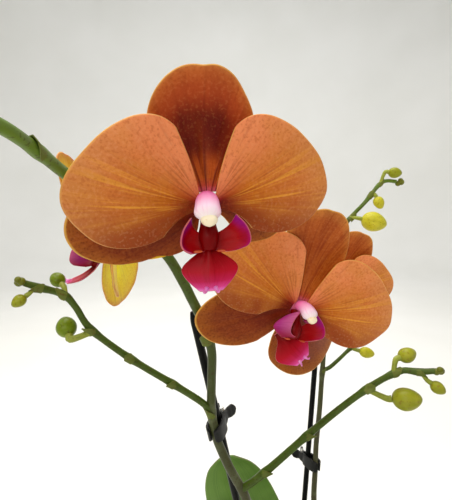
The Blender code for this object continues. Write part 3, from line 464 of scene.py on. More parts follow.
def ballWithUv(sides, rings):
    # a unit sphere that keeps the way round and the share of its height as its UV
    bm = bmesh.new()
    bmesh.ops.create_uvsphere(bm, u_segments=sides, v_segments=rings, radius=1.0)
    layer = bm.loops.layers.uv.new("fan")
    for face in bm.faces:
        for loop in face.loops:
            co = loop.vert.co
            loop[layer].uv = (math.atan2(co.y, co.x) / math.tau + 0.5, (co.z + 1) / 2)
    return bm


def roundBlob(bm, at, size, sides=20, rings=14):
    made = bmesh.ops.create_uvsphere(bm, u_segments=sides, v_segments=rings, radius=1.0)["verts"]
    for vert in made:
        vert.co = Vector([c * s + a for c, s, a in zip(vert.co, size, at)]) * mm
    return made


def faceTowards(bm, direction):
    # an open sheet's face side: turned over if it looks away from direction
    bm.normal_update()
    if sum((f.normal.dot(direction) * f.calc_area() for f in bm.faces), 0.0) < 0:
        bmesh.ops.reverse_faces(bm, faces=bm.faces[:])


def thicken(piece, thickness, rimStep, levels=1):
    # gives a sheet its two faces and its rim, each with its own material
    shell = piece.modifiers.new("thickness", "SOLIDIFY")
    shell.thickness = thickness * mm
    shell.offset = 0.0
    shell.material_offset = 1
    shell.material_offset_rim = rimStep
    smooth = piece.modifiers.new("smooth", "SUBSURF")
    smooth.levels = smooth.render_levels = levels


def smoothRoute(points, spacing):
    p = [Vector(q) for q in points]
    p = [p[0] * 2 - p[1], *p, p[-1] * 2 - p[-2]]
    found = []
    for i in range(len(p) - 3):
        a, b, c, d = p[i:i + 4]
        steps = max(1, round((c - b).length / spacing))
        for k in range(steps + (i == len(p) - 4)):
            t = k / steps
            found.append(0.5 * (2 * b + (c - a) * t + (2 * a - 5 * b + 4 * c - d) * t * t
                                + (3 * b - a - 3 * c + d) * t ** 3))
    return found


def addTube(bm, points, radii, spacing=2.0, index=0, swells=(), rough=0.0, seed=0):
    # a round stem along a smooth line; swells are (place, extra radius, reach)
    route = smoothRoute(points, spacing)
    line = bpy.data.curves.new("route", "CURVE")
    line.dimensions = "3D"
    line.bevel_depth = mm
    line.bevel_resolution = 4
    line.use_fill_caps = True
    spline = line.splines.new("POLY")
    spline.points.add(len(route) - 1)
    for i, (spot, at) in enumerate(zip(spline.points, route)):
        spot.co = (*(at * mm), 1.0)
        radius = readTable(tuple(enumerate(radii)), i / (len(route) - 1) * (len(radii) - 1))
        for place, extra, reach in swells:
            radius += extra * bell((at - Vector(place)).length, reach)
        spot.radius = radius * (1 + rough * ripple(i * 0.35, 0, seed))
    drawn = inScene("route", line)
    graph = bpy.context.evaluated_depsgraph_get()
    mesh = bpy.data.meshes.new_from_object(drawn.evaluated_get(graph))
    bpy.data.objects.remove(drawn, do_unlink=True)
    bpy.data.curves.remove(line)
    tube = bmesh.new()
    tube.from_mesh(mesh)
    bpy.data.meshes.remove(mesh)
    bmesh.ops.remove_doubles(tube, verts=tube.verts, dist=0.00001)
    bmesh.ops.recalc_face_normals(tube, faces=tube.faces)
    joinPart(bm, tube, index)


# tepals: outline rows are (degrees from the midrib, reach)

hub = dict(radius=2.6, layer=1.25)
blade = dict(thickness=0.75, uneven=0.012, ribs=0.25, groove=0.6, grooveWidth=0.10)
tepals = {
    "petal": dict(outline=((-66, 22.5), (-60, 26), (-50, 29), (-36, 31.5), (-20, 34), (-4, 37.2), (8, 37.4),
                           (20, 33.5), (31, 28.6), (40, 22.5), (50, 14)),
                  claw=2.3, neck=7.0, belly=(4.2, 1.8), shy=(0.7, 0.1), bow=2.6, cup=-0.0030, hood=-1.0,
                  wave=1.0),
    "dorsal": dict(outline=((-50, 18), (-43, 24), (-34, 29), (-23, 33.4), (-12, 36.3), (-4, 37.2), (0, 36.9),
                            (6, 37.4), (14, 36), (24, 32.2), (33, 28.7), (43, 23.5), (50, 18)),
                   claw=3.9, neck=9.0, belly=(2.3, 2.3), shy=(0.2, 0.2), bow=-2.4, cup=0.006, hood=5.0,
                   wave=0.5),
    "lateral": dict(outline=((-36, 21), (-22, 31), (-10, 38), (0, 40), (12, 37), (24, 30), (38, 20)),
                    claw=3.0, neck=10.0, belly=(2.4, 3.8), shy=(0.2, 0.6), bow=1.2, cup=-0.004, hood=2.0,
                    wave=0.6),
}


def makeTepal(name, shape, face, place, mirrored, seed, slotName, size=1.0, lower=None, slim=1.0):
    bm = gridWithUv(36, 26)
    first, last = shape["outline"][0][0], shape["outline"][-1][0]
    length = max(r for _, r in shape["outline"])
    for vert in bm.verts:
        fan, out = vert.co.x, vert.co.y
        degrees = mixNumber(first, last, (fan + 1) / 2)
        reach = readTable(shape["outline"], degrees) * size
        reach *= 1 + blade["uneven"] * ripple(fan * 3.0, 0.0, seed)
        angle = math.radians(degrees)
        belly, shy = shape["belly"][fan > 0], shape["shy"][fan > 0]
        if lower is not None and fan > 0:
            belly = lower
        start = Vector((shape["claw"] * fan, 0))
        shoulder = Vector((shape["claw"] * fan * belly, shape["neck"] * (1 - shy * fan * fan)))
        end = Vector((reach * math.sin(angle) * slim, reach * math.cos(angle)))
        flat = bend(start, shoulder, end, out)
        tip = max(0.0, flat.y / length)
        front = (shape["bow"] * math.sin(math.pi * min(1.0, tip * 0.95))
                 + shape["cup"] * flat.x ** 2 + shape["hood"] * tip ** 3)
        front += shape["wave"] * out * ripple(flat.x * 0.11, flat.y * 0.08, seed + 3)
        front += blade["ribs"] * out * ripple(fan * 9, out * 1.2, seed + 5)
        front -= blade["groove"] * bell(fan, blade["grooveWidth"]) * math.sin(math.pi * out)
        vert.co = Vector((-flat.x if mirrored else flat.x, -front, flat.y + hub["radius"] + gap)) * mm
    faceTowards(bm, Vector((0, -1, 0)))
    piece = addPiece(name + "Skin", bm, (face, tepalBack, tepalEdge), (name,), place)
    thicken(piece, blade["thickness"], 2)


# dorsal is (turn, sweep, size, slimness, face); a petal or sepal is (rise, sweep, twist, size, lower belly);
# a side lobe is (width, spread, lift, belly, forward)
usualFlower = dict(lipTurn=0, lipShift=(0, 0, 0), lobes=((1, 0, 0, 1, 0), (1, 0, 0, 1, 0)), midTurn=(0, 0, 0),
                   midShift=(0, 0, 0), midSize=1, columnTurn=(0, 0), columnSize=1)
flowers = {
    "flower_top": dict(
        usualFlower, at=(-55.7, -111.1, 418.3), yaw=14, pitch=12, roll=-3,
        dorsal=(0, 7, 0.95, 1.02, dorsalFace),
        petals=((9, -3, 0, 1), (10, 2, 0, 0.98)), sepals=((-13, 6, 0, 1, 6.0), (-16, 30, 0, 1, 0.4)),
        lipTurn=-7, lobes=((0.8, -1.4, 0, 1.1, 1.0), (0.97, 0.6, 0.4, 1, 0)), midTurn=(-10, -3, 0),
        midSize=1.05, columnTurn=(-10, 0)),
    "flower_low": dict(
        usualFlower, at=(-20.3, -74.8, 374.8), yaw=8, pitch=6, roll=16,
        dorsal=(-1, 3, 1.05, 0.84, dorsalPaleFace),
        petals=((19, 10, 0, 1.03), (11, -4, 0, 1)), sepals=((-27, 8, 0, 1, 2.2), (-56, 29, 0, 1.26)),
        lipTurn=6, lipShift=(-1.4, 0, 1.8), lobes=((1, -8.6, 1.6, 1.85, 0.5), (1, 0.4, 1.2, 1, 0)),
        midTurn=(20, -52, 0), midShift=(-6.6, 0, -2.0), columnTurn=(17, 10), columnSize=0.9),
    "flower_rear": dict(
        usualFlower, at=(23.9, 24.1, 360.3), yaw=4, pitch=8, roll=18, dorsal=(4, 2, 1, 0.95, dorsalPaleFace),
        petals=((6, 0, 0, 1), (18, 0, 0, 1)), sepals=((-38, 8, 0, 1), (-38, 8, 0, 1))),
    "flower_side": dict(
        usualFlower, at=(-100.8, -63.8, 403.5), yaw=-77, pitch=4, roll=0,
        dorsal=(0, 0, 0.93, 1, dorsalPaleFace),
        petals=((-6, 3, 0, 1), (56, -16, 0, 1)), sepals=((-50, 5, 34, 1.14), (-16, 6, 0, 1)),
        lipShift=(0, -1.6, 0.8), lobes=((1, -2, 2, 1, 5), (1, -2, 2, 1, 5)), midTurn=(0, 0, 28),
        midShift=(0, 1.0, -2.2)),
}


def flowerPlace(spec):
    return (shiftBy(*spec["at"]) @ turnAbout("Z", spec["yaw"]) @ turnAbout("X", spec["pitch"])
            @ turnAbout("Y", spec["roll"]))


def makeTepals(name, spec, seed):
    def laid(layer, turned, sweep, twist):
        return (flowerPlace(spec) @ shiftBy(0, -layer, 0) @ turnAbout("Y", turned)
                @ turnAbout("X", -sweep) @ turnAbout("Z", twist))

    turned, sweep, size, slim, face = spec["dorsal"]
    makeTepal(name + "_dorsal_sepal", tepals["dorsal"], face, laid(-hub["layer"], turned, sweep, 0), False,
              seed, "sepal_rust", size, None, slim)
    for kind, ending, face, layer, slotName in (
            ("petal", "petal", petalFace, hub["layer"], "petal_orange"),
            ("lateral", "sepal", lateralFace, -hub["layer"], "sepal_rust")):
        for side, word, (rise, sweep, twist, *rest) in zip((-1, 1), ("left", "right"), spec[ending + "s"]):
            place = laid(layer, side * (90 - rise), sweep, twist)
            makeTepal(f"{name}_{word}_{ending}", tepals[kind], face, place, side < 0, seed + 11 * side + 6,
                      slotName, *rest)


# lip and column, about the flower's middle, facing -Y

lipShape = dict(
    thickness=0.7,
    # rails of a side lobe from its lower edge to its upper tip: at the throat, half way, at the edge
    throat=rail((-1, 0.7, -6.3, -12.8), (0, 0.9, -5.8, -10.4), (1, 0.6, -5.0, -8.2)),
    half=rail((-1, 5.5, -7.8, -13.8), (0, 9.0, -4.6, -10.4), (1, 6.2, -3.0, -8.4)),
    edge=rail((-1, 8.4, -7.8, -12.8), (-0.5, 11.2, -8.4, -11.4), (0, 12.0, -8.2, -9.0),
              (0.55, 10.8, -6.8, -5.6), (1, 7.8, -4.6, -2.6)),
    midLine=rail((0, 0, -5.0, -9.5), (0.3, 0, -6.4, -13.2), (0.65, 0, -9.6, -17.8), (1, 0, -13.6, -22.0)),
    midWidth=((0, 1.9), (0.26, 2.3), (0.38, 3.4), (0.50, 6.0), (0.62, 7.9), (0.72, 7.8), (0.86, 5.9), (1, 3.1)),
    neck=(0, -5.4, -10.5),
    claw=((0, -1.2, -2.6), (0, -3.4, -6.4), (0, -5.2, -10.4), (0, -6.2, -13.0)),
    whisker=((1.2, -13.0, -21.2), (1.6, -14.4, -21.7), (2.0, -15.4, -21.4), (2.3, -15.9, -20.5)),
    callus=dict(at=(3.4, -8.4, -12.4), size=(1.3, 0.6, 0.35)),
)
columnShape = dict(
    line=rail((0, 0, 0.4, 1.2), (0.5, 0, -5.4, 1.0), (1, 0, -10.8, -2.2)),
    width=((0, 3.0), (0.25, 3.3), (0.6, 3.6), (0.82, 3.8), (1, 3.0)),
    deep=((0, 2.8), (0.4, 2.8), (0.8, 2.9), (1, 2.4)),
    cap=dict(at=(0.4, -10.2, -2.4), size=(2.4, 1.9, 1.8), groove=0.25, grooveWidth=0.6),
    hollow=dict(at=(0, -8.2, -3.9), size=(1.9, 1.9, 0.9)),
    receptacle=(3.5, 2.5, 3.5),
)


def sideLobe(side, wide, spread, lift, belly, forward):
    # spread moves the free edge outwards, lift raises it, forward brings it towards the viewer
    bm = gridWithUv(16, 12)
    for vert in bm.verts:
        fan, out = vert.co.x, vert.co.y
        throat, half, edge = (readTable(lipShape[key], fan) for key in ("throat", "half", "edge"))
        at = bend(throat, Vector((half.x * belly, half.y, half.z)), edge, out)
        at = at + Vector((0, -forward * out ** 2 + 0.25 * ripple(fan * 2, out * 2, side), 0))
        vert.co = Vector((side * (at.x * wide + spread * out ** 2), at.y, at.z + lift * out)) * mm
    faceTowards(bm, Vector((-side * 0.6, -1, 0.4)))
    return bm


def midLobe():
    bm = gridWithUv(18, 24)
    for vert in bm.verts:
        across, share = vert.co.x, vert.co.y
        width = readTable(lipShape["midWidth"], share)
        keel = 0.9 * bell(across, 0.22) * (1 - share)
        sag = 1.6 * across ** 2 * math.sin(math.pi * share)
        vert.co = (readTable(lipShape["midLine"], share)
                   + Vector((across * width, sag * 0.8 - keel, 0.35 * sag + 0.5 * keel))) * mm
    faceTowards(bm, Vector((0, -1, 0.3)))
    return bm


def makeLip(name, spec):
    hung = flowerPlace(spec) @ shiftBy(*spec["lipShift"])
    turned = hung @ turnAbout("Z", spec["lipTurn"])
    turn, roll, tilt = spec["midTurn"]
    # the middle lobe turns on its own neck
    neck = shiftBy(*lipShape["neck"])
    midPlace = (hung @ shiftBy(*spec["midShift"]) @ turnAbout("Z", turn) @ neck @ turnAbout("Y", roll)
                @ turnAbout("X", -tilt) @ Matrix.Scale(spec["midSize"], 4) @ neck.inverted())
    for word, side, lobe in zip(("Left", "Right"), (-1, 1), spec["lobes"]):
        piece = addPiece(f"{name}_lipLobe{word}", sideLobe(side, *lobe), (lobeInside, lobeOutside, lipEdge),
                         (), turned)
        thicken(piece, lipShape["thickness"], 2, 2)
    piece = addPiece(name + "_lipMid", midLobe(), (midInside, midOutside, lipEdge),
                     (name + "_lip",), midPlace)
    thicken(piece, lipShape["thickness"], 2, 2)
    claw, whiskers, callus = bmesh.new(), bmesh.new(), bmesh.new()
    addTube(claw, lipShape["claw"], (2.0, 2.4, 3.2, 2.2), 0.8)
    for side in (-1, 1):
        addTube(whiskers, [(side * x, y, z) for x, y, z in lipShape["whisker"]], (0.65, 0.45, 0.3, 0.14), 0.5)
        x, y, z = lipShape["callus"]["at"]
        roundBlob(callus, (side * x, y, z), lipShape["callus"]["size"])
    addPiece(name + "_lipClaw", claw, (clawRed,), (), turned)
    addPiece(name + "_lipWhiskers", whiskers, (whiskerPink,), (), midPlace)
    addPiece(name + "_callus", callus, (callusRed,), (), turned)


def makeColumn(name, spec):
    turn, lift = spec["columnTurn"]
    turned = (flowerPlace(spec) @ turnAbout("Z", turn) @ turnAbout("X", -lift)
              @ Matrix.Scale(spec["columnSize"], 4))
    bm = ballWithUv(28, 24)
    for vert in bm.verts:
        x, y, z = vert.co
        share = (z + 1) / 2
        ring = math.hypot(x, y)
        full = min(1.0, ring * 1.35)
        flatX, flatY = (x / ring, y / ring) if ring > 1e-6 else (0, 0)
        at = readTable(columnShape["line"], share)
        before, after = (readTable(columnShape["line"], min(1, max(0, share + d))) for d in (-0.04, 0.04))
        up = Vector((1, 0, 0)).cross((after - before).normalized()).normalized()
        wide, deep = (readTable(columnShape[key], share) * full for key in ("width", "deep"))
        vert.co = (at + Vector((1, 0, 0)) * flatX * wide + up * flatY * deep) * mm
    bmesh.ops.recalc_face_normals(bm, faces=bm.faces)
    addPiece(name + "_columnSkin", bm, (pistilPink,), (name + "_column",), turned)
    cap, hollow = columnShape["cap"], columnShape["hollow"]
    bm = bmesh.new()
    roundBlob(bm, (0, 0, 0), cap["size"], 24, 18)
    for vert in bm.verts:
        if vert.co.y < 0:
            vert.co.z -= cap["groove"] * mm * bell(vert.co.x, cap["grooveWidth"] * mm)
    addPiece(name + "_antherCap", bm, (antherCream,), (),
             turned @ shiftBy(*cap["at"]) @ turnAbout("X", 35))
    bm = bmesh.new()
    roundBlob(bm, hollow["at"], hollow["size"])
    addPiece(name + "_stigmaHollow", bm, (stigmaDark,), (), turned)
    bm = ballWithUv(28, 18)
    bmesh.ops.scale(bm, verts=bm.verts, vec=point(columnShape["receptacle"]))
    addPiece(name + "_receptacle", bm, (hubTissue,), (), flowerPlace(spec))


for seed, (name, spec) in enumerate(flowers.items()):
    makeTepals(name, spec, 17 * seed + 2)
    makeLip(name, spec)
    makeColumn(name, spec)
print("flowers ready")


# spikes with their branches, bracts, pedicels and buds: radii are at the start and the end of a line,
# a bract is (place, along, radius, length, facing), a tip is a knot of the smallest buds (place, radius)

spikes = {
    "front_spike": dict(
        line=(
            (-8.8, -8.8, 118), (-18, -18, 146), (-25, -30, 190), (-31, -42, 232), (-39.4, -48.5, 263.5),
            (-42.3, -49.2, 270.8), (-48.6, -50, 283.8), (-54, -49.9, 297), (-55.4, -51, 304),
            (-56.7, -52.1, 311), (-57.2, -54.2, 319), (-56.8, -58.3, 334.9), (-56.6, -63.4, 352),
            (-60.2, -68.4, 367), (-64.2, -72.8, 377.8), (-67.4, -76, 386), (-72.8, -79.8, 397),
            (-82.4, -88.4, 410.5), (-89.3, -95.8, 417.5), (-95, -103.4, 422.9), (-98.9, -110.8, 427.7),
            (-99.8, -123, 432), (-101, -138, 436), (-103, -156, 437), (-105, -172, 432),
            (-106.5, -184, 424)),
        radii=(2.75, 1.7),
        limbs=(
            ((1.7, 1.15), (-57, -53.6, 316), (-62, -57.5, 323.5), (-74, -65.5, 336.6), (-90, -74.5, 352.5),
             (-103.3, -81.5, 367.7), (-108, -84.4, 378), (-111.5, -86.4, 383.5), (-117.9, -90.4, 387),
             (-122.5, -93, 389.5)),
            ((2, 1.3), (-42, -49.2, 270), (-35, -50.6, 276.5), (-26.5, -52, 285.5), (-10, -54, 303.5),
             (4.5, -56.5, 319), (16.4, -58.6, 330.5), (24.5, -60.6, 337.5), (31, -62, 341.3),
             (37, -63.7, 341.5), (43.5, -66, 343))),
        pedicels=(
            ("flower_top", (-77.6, -84.1, 404), (-68, -88, 414)),
            ("flower_low", (-58.6, -66, 360), (-40, -57, 366)),
            ("flower_side", (-70.6, -78, 392), (-78, -70, 399))),
        bracts=(
            ((-57, -53.6, 315), (-0.2, -0.2, 1), 2.6, 7.5, (-1, -0.3, 0)),
            ((-58.6, -66, 357), (-0.25, -0.3, 1), 2.4, 8, (0.3, -1, 0)),
            ((-30.5, -51.4, 281), (0.7, -0.1, 0.75), 2.2, 5.5, (0.4, -1, -0.3)),
            ((-74, -65.5, 336.2), (-0.6, -0.4, 0.7), 1.9, 5, (-0.3, -1, 0.3)),
            ((-90, -74.5, 352.2), (-0.6, -0.35, 0.7), 1.8, 5.5, (0.3, -1, 0.3)),
            ((-103.3, -81.5, 367), (-0.4, -0.3, 0.9), 1.9, 5, (-0.6, -1, 0)),
            ((-111.5, -86.4, 383), (-0.8, -0.5, 0.4), 1.8, 5, (0, -0.6, 1)),
            ((-117.9, -90.4, 387), (-0.8, -0.5, 0.4), 1.6, 4.5, (0, -0.8, -0.6)),
            ((-10, -54, 303), (0.7, -0.1, 0.75), 2, 5.5, (0.5, -1, -0.3)),
            ((16.4, -58.6, 330), (0.7, -0.2, 0.65), 2, 6, (-0.2, -1, 0.4)),
            ((27.5, -61.2, 339.4), (0.9, -0.2, 0.3), 1.9, 5, (0, -0.4, 1)),
            ((37, -63.7, 341.4), (0.95, -0.3, 0.1), 1.7, 4.5, (0, -0.7, -0.7)),
            ((-82.4, -88.4, 410), (-0.7, -0.6, 0.6), 2.3, 7, (-0.3, -1, 0.3)),
            ((-99.8, -123, 431.6), (-0.1, -1, 0.3), 2.2, 6, (0.6, 0, 1))),
        tips=(((-123.8, -93.7, 390.2), 2.1), ((44.8, -66.5, 343.3), 2.4), ((-106.8, -185.6, 422.8), 2.8))),
    "rear_spike": dict(
        line=(
            (9.9, 1, 121), (17, 9, 136), (21, 19, 160), (18, 27.5, 184), (16.6, 31, 194),
            (17.2, 32.4, 219), (17.6, 33.8, 237), (19.5, 35.2, 263), (21, 37.4, 290), (23.5, 41, 322),
            (29, 46, 362), (36.5, 49.5, 397), (42.5, 49.9, 407), (51.2, 49.3, 417), (59.5, 48.6, 428.5),
            (64.5, 48.2, 431.5), (71.5, 47.5, 431)),
        radii=(2.3, 1.3),
        limbs=(
            ((1.5, 1), (21.3, 37.9, 293.5), (26.5, 39.4, 294.5), (33.5, 42, 299), (46, 46.5, 308.5),
             (56.5, 50, 314.5), (66, 52.5, 318.5), (72, 54, 322.5)),),
        pedicels=(("flower_rear", (27, 44, 347), (26, 37, 354)),),
        bracts=(
            ((21.2, 37.6, 291), (0.1, 0.1, 1), 2, 7, (1, -0.6, 0)),
            ((27, 44, 345), (0.1, 0.1, 1), 1.9, 7, (0.2, -1, 0)),
            ((36, 49.4, 394), (0.5, 0.1, 1), 2, 7.5, (-0.4, -1, 0)),
            ((40.8, 49.8, 404), (0.7, 0, 0.8), 2, 7, (-0.3, -1, 0.3)),
            ((53.5, 49, 420), (0.6, 0, 0.8), 1.9, 6, (-0.6, -1, 0.2)),
            ((60, 48.5, 428.6), (0.8, 0, 0.5), 1.8, 5.5, (0, -0.4, 1)),
            ((44, 45.8, 306.6), (0.8, 0.3, 0.5), 1.5, 5, (0, -0.8, 0.6)),
            ((64, 52, 317.4), (0.85, 0.2, 0.45), 1.4, 4.5, (0, -0.9, 0.3))),
        tips=(((73.8, 47.2, 430.6), 3), ((73.2, 54.3, 323.6), 2.2))),
}
buds = {
    "front_spike": {
        "bud_left_1": dict(node=(-103, -81.4, 367.3), base=(-111, -84.6, 366.4), aim=(-0.45, 0.6, 0.5),
                           size=(9, 8.4), skin=budOlive),
        "bud_left_2": dict(node=(-111, -86.2, 383.2), base=(-113.2, -83.4, 386.6), aim=(-0.6, 0.5, 0.35),
                           size=(7, 6), skin=budOlive),
        "bud_left_3": dict(node=(-119.5, -91.3, 387.9), base=(-121.3, -94.2, 385.2), aim=(-0.6, -0.5, -0.5),
                           size=(5.4, 4.6), skin=budLime),
        "bud_right_1": dict(node=(16.4, -58.6, 330.5), base=(26.4, -62, 327.5), aim=(0.9, -0.25, 0.12),
                            size=(13, 11), skin=budLime),
        "bud_right_2": dict(node=(27.5, -61.2, 340), base=(30.2, -59.2, 346), aim=(0.85, 0.25, 0.2),
                            size=(9, 7.6), skin=budLime),
        "bud_right_3": dict(node=(38.5, -64.2, 341.7), base=(41.5, -66.4, 337.8), aim=(0.75, -0.3, -0.5),
                            size=(7, 5.8), skin=budLime),
        "bud_front_1": dict(node=(-103, -156, 437), base=(-98.5, -158.5, 433), aim=(0.55, -0.45, -0.6),
                            size=(9.5, 8), skin=budLime),
    },
    "rear_spike": {
        "bud_rear_1": dict(node=(40.8, 49.8, 405.5), base=(47, 45.6, 404.6), aim=(0.92, -0.1, -0.22),
                           size=(18, 15), skin=budYellow),
        "bud_rear_2": dict(node=(54.8, 49, 421.8), base=(57.4, 47.4, 420.6), aim=(0.4, -0.1, -0.8),
                           size=(9.5, 8), skin=budYellow),
        "bud_rear_3": dict(node=(61, 48.5, 430.2), base=(64.4, 46, 437.6), aim=(0.95, -0.05, -0.1),
                           size=(9.5, 8), skin=budLime),
        "bud_rear_branch": dict(node=(44, 45.8, 307.2), base=(50.2, 45.4, 305.4), aim=(0.96, -0.1, -0.22),
                                size=(11.5, 8.6), skin=budYellow),
    },
}


# a bract's half angle, how far it flares, its wall; a bud's taper, seams and swell between them;
# a pedicel's radii, and its last two points behind its flower
bractShape = dict(halfAngle=125, flare=0.42, wall=0.3, below=0.15)
budShape = dict(taper=0.30, seam=0.055, seamWidth=0.10, swell=0.025, stalk=0.14)
pedicelShape = dict(radii=(1.5, 1.35, 1.5, 1.9), behind=(6.75, 2.2))
tipShape = dict(count=5, turn=2.4, spread=0.36, size=0.72, less=0.06)


def addBract(bm, at, along, radius, length, facing, index):
    # a pointed half sheath round a stem
    along = Vector(along).normalized()
    facing = Vector(facing)
    facing = (facing - along * facing.dot(along)).normalized()
    side = along.cross(facing)
    sheet = bmesh.new()
    bmesh.ops.create_grid(sheet, x_segments=10, y_segments=6, size=1.0)
    for vert in sheet.verts:
        share = (vert.co.y + 1) / 2
        angle = math.radians(vert.co.x * bractShape["halfAngle"] * (1 - share ** 1.6) + 0.001)
        reach = radius * (1.02 + bractShape["flare"] * share ** 1.5)
        vert.co = (Vector(at) + along * length * (share - bractShape["below"])
                   + (facing * math.cos(angle) + side * math.sin(angle)) * reach) * mm
    bmesh.ops.remove_doubles(sheet, verts=sheet.verts, dist=0.00002)
    bmesh.ops.recalc_face_normals(sheet, faces=sheet.faces)
    bmesh.ops.solidify(sheet, geom=sheet.faces[:], thickness=bractShape["wall"] * mm)
    joinPart(bm, sheet, index)


def makeSpike(name, spec):
    bm = bmesh.new()
    swells = [(b[0], 0.35, 3.0) for b in spec["bracts"]]
    addTube(bm, spec["line"], spec["radii"], 2.0, 0, swells)
    for radii, *line in spec["limbs"]:
        addTube(bm, line, radii, 1.6, 1, swells)
    for flower, start, middle in spec["pedicels"]:
        ends = [flowerPlace(flowers[flower]) @ point((0, d, 0)) / mm for d in pedicelShape["behind"]]
        addTube(bm, (start, middle, *ends), pedicelShape["radii"], 1.2, 2)
    for bud in buds[name].values():
        start, end, aim = Vector(bud["node"]), Vector(bud["base"]), Vector(bud["aim"]).normalized()
        before = end - aim * 1.6
        thick = min(1.4, budShape["stalk"] * bud["size"][1] + 0.2)
        addTube(bm, (start, (start + before) / 2 - aim * 0.4, before, end + aim * 0.4),
                (thick * 1.1, thick * 0.9, thick, thick * 1.15), 0.8, 2)
    for bract in spec["bracts"]:
        addBract(bm, *bract, 3)
    for at, radius in spec["tips"]:
        for k in range(tipShape["count"]):
            turn = k * tipShape["turn"]
            off = Vector((math.cos(turn), math.sin(turn), math.sin(turn * 1.7))) * radius * tipShape["spread"]
            size = radius * (tipShape["size"] - tipShape["less"] * k)
            made = roundBlob(bm, Vector(at) + off, (size, size, size), 14, 10)
            for face in {f for v in made for f in v.link_faces}:
                face.material_index = 4
    addPiece(name + "Skin", bm, (stemGreen, branchGreen, pedicelPale, bractGreen, tipGreen),
             (name,), angle=70)


def makeBud(name, spec):
    # an egg of three closed sepals: their seams run from base to tip
    length, width = spec["size"]
    bm = bmesh.new()
    bmesh.ops.create_uvsphere(bm, u_segments=48, v_segments=26, radius=1.0)
    for vert in bm.verts:
        share = (vert.co.z + 1) / 2
        angle = math.atan2(vert.co.y, vert.co.x)
        seam = abs(((angle * 3 / math.tau) % 1.0) - 0.5) * math.tau / 3
        full = math.sin(math.pi * share)
        slim = 1 - budShape["taper"] * share * share
        slim -= budShape["seam"] * bell(seam, budShape["seamWidth"]) * full
        slim += budShape["swell"] * math.cos(3 * angle) * full
        vert.co = Vector((vert.co.x * width / 2 * slim, vert.co.y * width / 2 * slim,
                          share * length + gap)) * mm
    aim = Vector(spec["aim"]).to_track_quat("Z", "Y").to_matrix().to_4x4()
    addPiece(name + "Skin", bm, (spec["skin"],), (name,), shiftBy(*spec["base"]) @ aim)


for name, spec in spikes.items():
    makeSpike(name, spec)
for group in buds.values():
    for name, spec in group.items():
        makeBud(name, spec)
print("spikes and buds ready")


# leaves: route and face give a leaf's middle line and the way its upper side looks

leafShape = dict(
    outline=((0.0, 0.30), (0.10, 0.40), (0.30, 0.78), (0.55, 1.0), (0.78, 0.93), (0.93, 0.62), (1.0, 0.16)),
    thickness=1.7, notch=2.2, notchWidth=0.3, groove=0.8, grooveWidth=0.07, wave=0.5)
leaves = {
    "leaf_upright": dict(route=((-1, 9.6, 124), (-14, 20, 155), (-45, 30, 200), (-49.5, 17, 240.0)),
                         face=(0.05, -1, 0.15), halfWidth=24.5, fold=0.20),
    "leaf_front": dict(route=((3.2, -9.0, 122), (16, -45, 168), (36, -104, 172), (50, -146, 122)),
                       face=(-0.1, 0.5, 1), halfWidth=32, fold=0.22),
    "leaf_back_left": dict(route=((-2.6, 10.2, 117), (-18, 44, 146), (-38, 88, 152), (-54, 124, 98)),
                           face=(0.3, -0.4, 1), halfWidth=30, fold=0.22),
    "leaf_left": dict(route=((-10.6, 0.6, 112), (-46, -3, 138), (-100, -8, 140), (-138, -14, 92)),
                      face=(0.5, 0, 1), halfWidth=29, fold=0.2),
    "leaf_right": dict(route=((10.5, -1.6, 109.5), (48, -5, 140), (98, -2, 138), (132, 6, 96)),
                       face=(-0.5, 0, 1), halfWidth=28, fold=0.2),
}


def bezierPoint(points, share):
    a, b, c, d = (Vector(p) for p in points)
    rest = 1 - share
    return a * rest ** 3 + b * 3 * rest ** 2 * share + c * 3 * rest * share ** 2 + d * share ** 3


def makeLeaf(name, spec, seed):
    bm = gridWithUv(28, 56)
    face, route = Vector(spec["face"]), spec["route"]
    for vert in bm.verts:
        across, share = vert.co.x, vert.co.y
        at = bezierPoint(route, share)
        before, after = (bezierPoint(route, min(1, max(0, share + d))) for d in (-0.01, 0.01))
        along = (after - before).normalized()
        side = along.cross(face).normalized()
        up = side.cross(along).normalized()
        width = spec["halfWidth"] * readTable(leafShape["outline"], share)
        # the very tip is drawn in to a rounded end with a shallow notch
        drawnIn = bell(across, leafShape["notchWidth"]) * max(0.0, (share - 0.86) / 0.14) ** 2
        at = at - along * leafShape["notch"] * drawnIn
        lift = spec["fold"] * width * (abs(across) - 0.45 * across * across)
        lift -= leafShape["groove"] * bell(across, leafShape["grooveWidth"]) * (1 - share * 0.6)
        lift += leafShape["wave"] * ripple(across * 1.5, share * 3, seed) * abs(across)
        vert.co = (at + side * (across * width) + up * lift) * mm
    along = bezierPoint(route, 0.51) - bezierPoint(route, 0.49)
    faceTowards(bm, along.cross(face).cross(along).normalized())
    piece = addPiece(name + "Skin", bm, (leafFace, leafBack, leafBack), (name,))
    thicken(piece, leafShape["thickness"], 1)


for seed, (name, spec) in enumerate(leaves.items()):
    makeLeaf(name, spec, seed + 40)
print("leaves ready")


# roots and bark chips

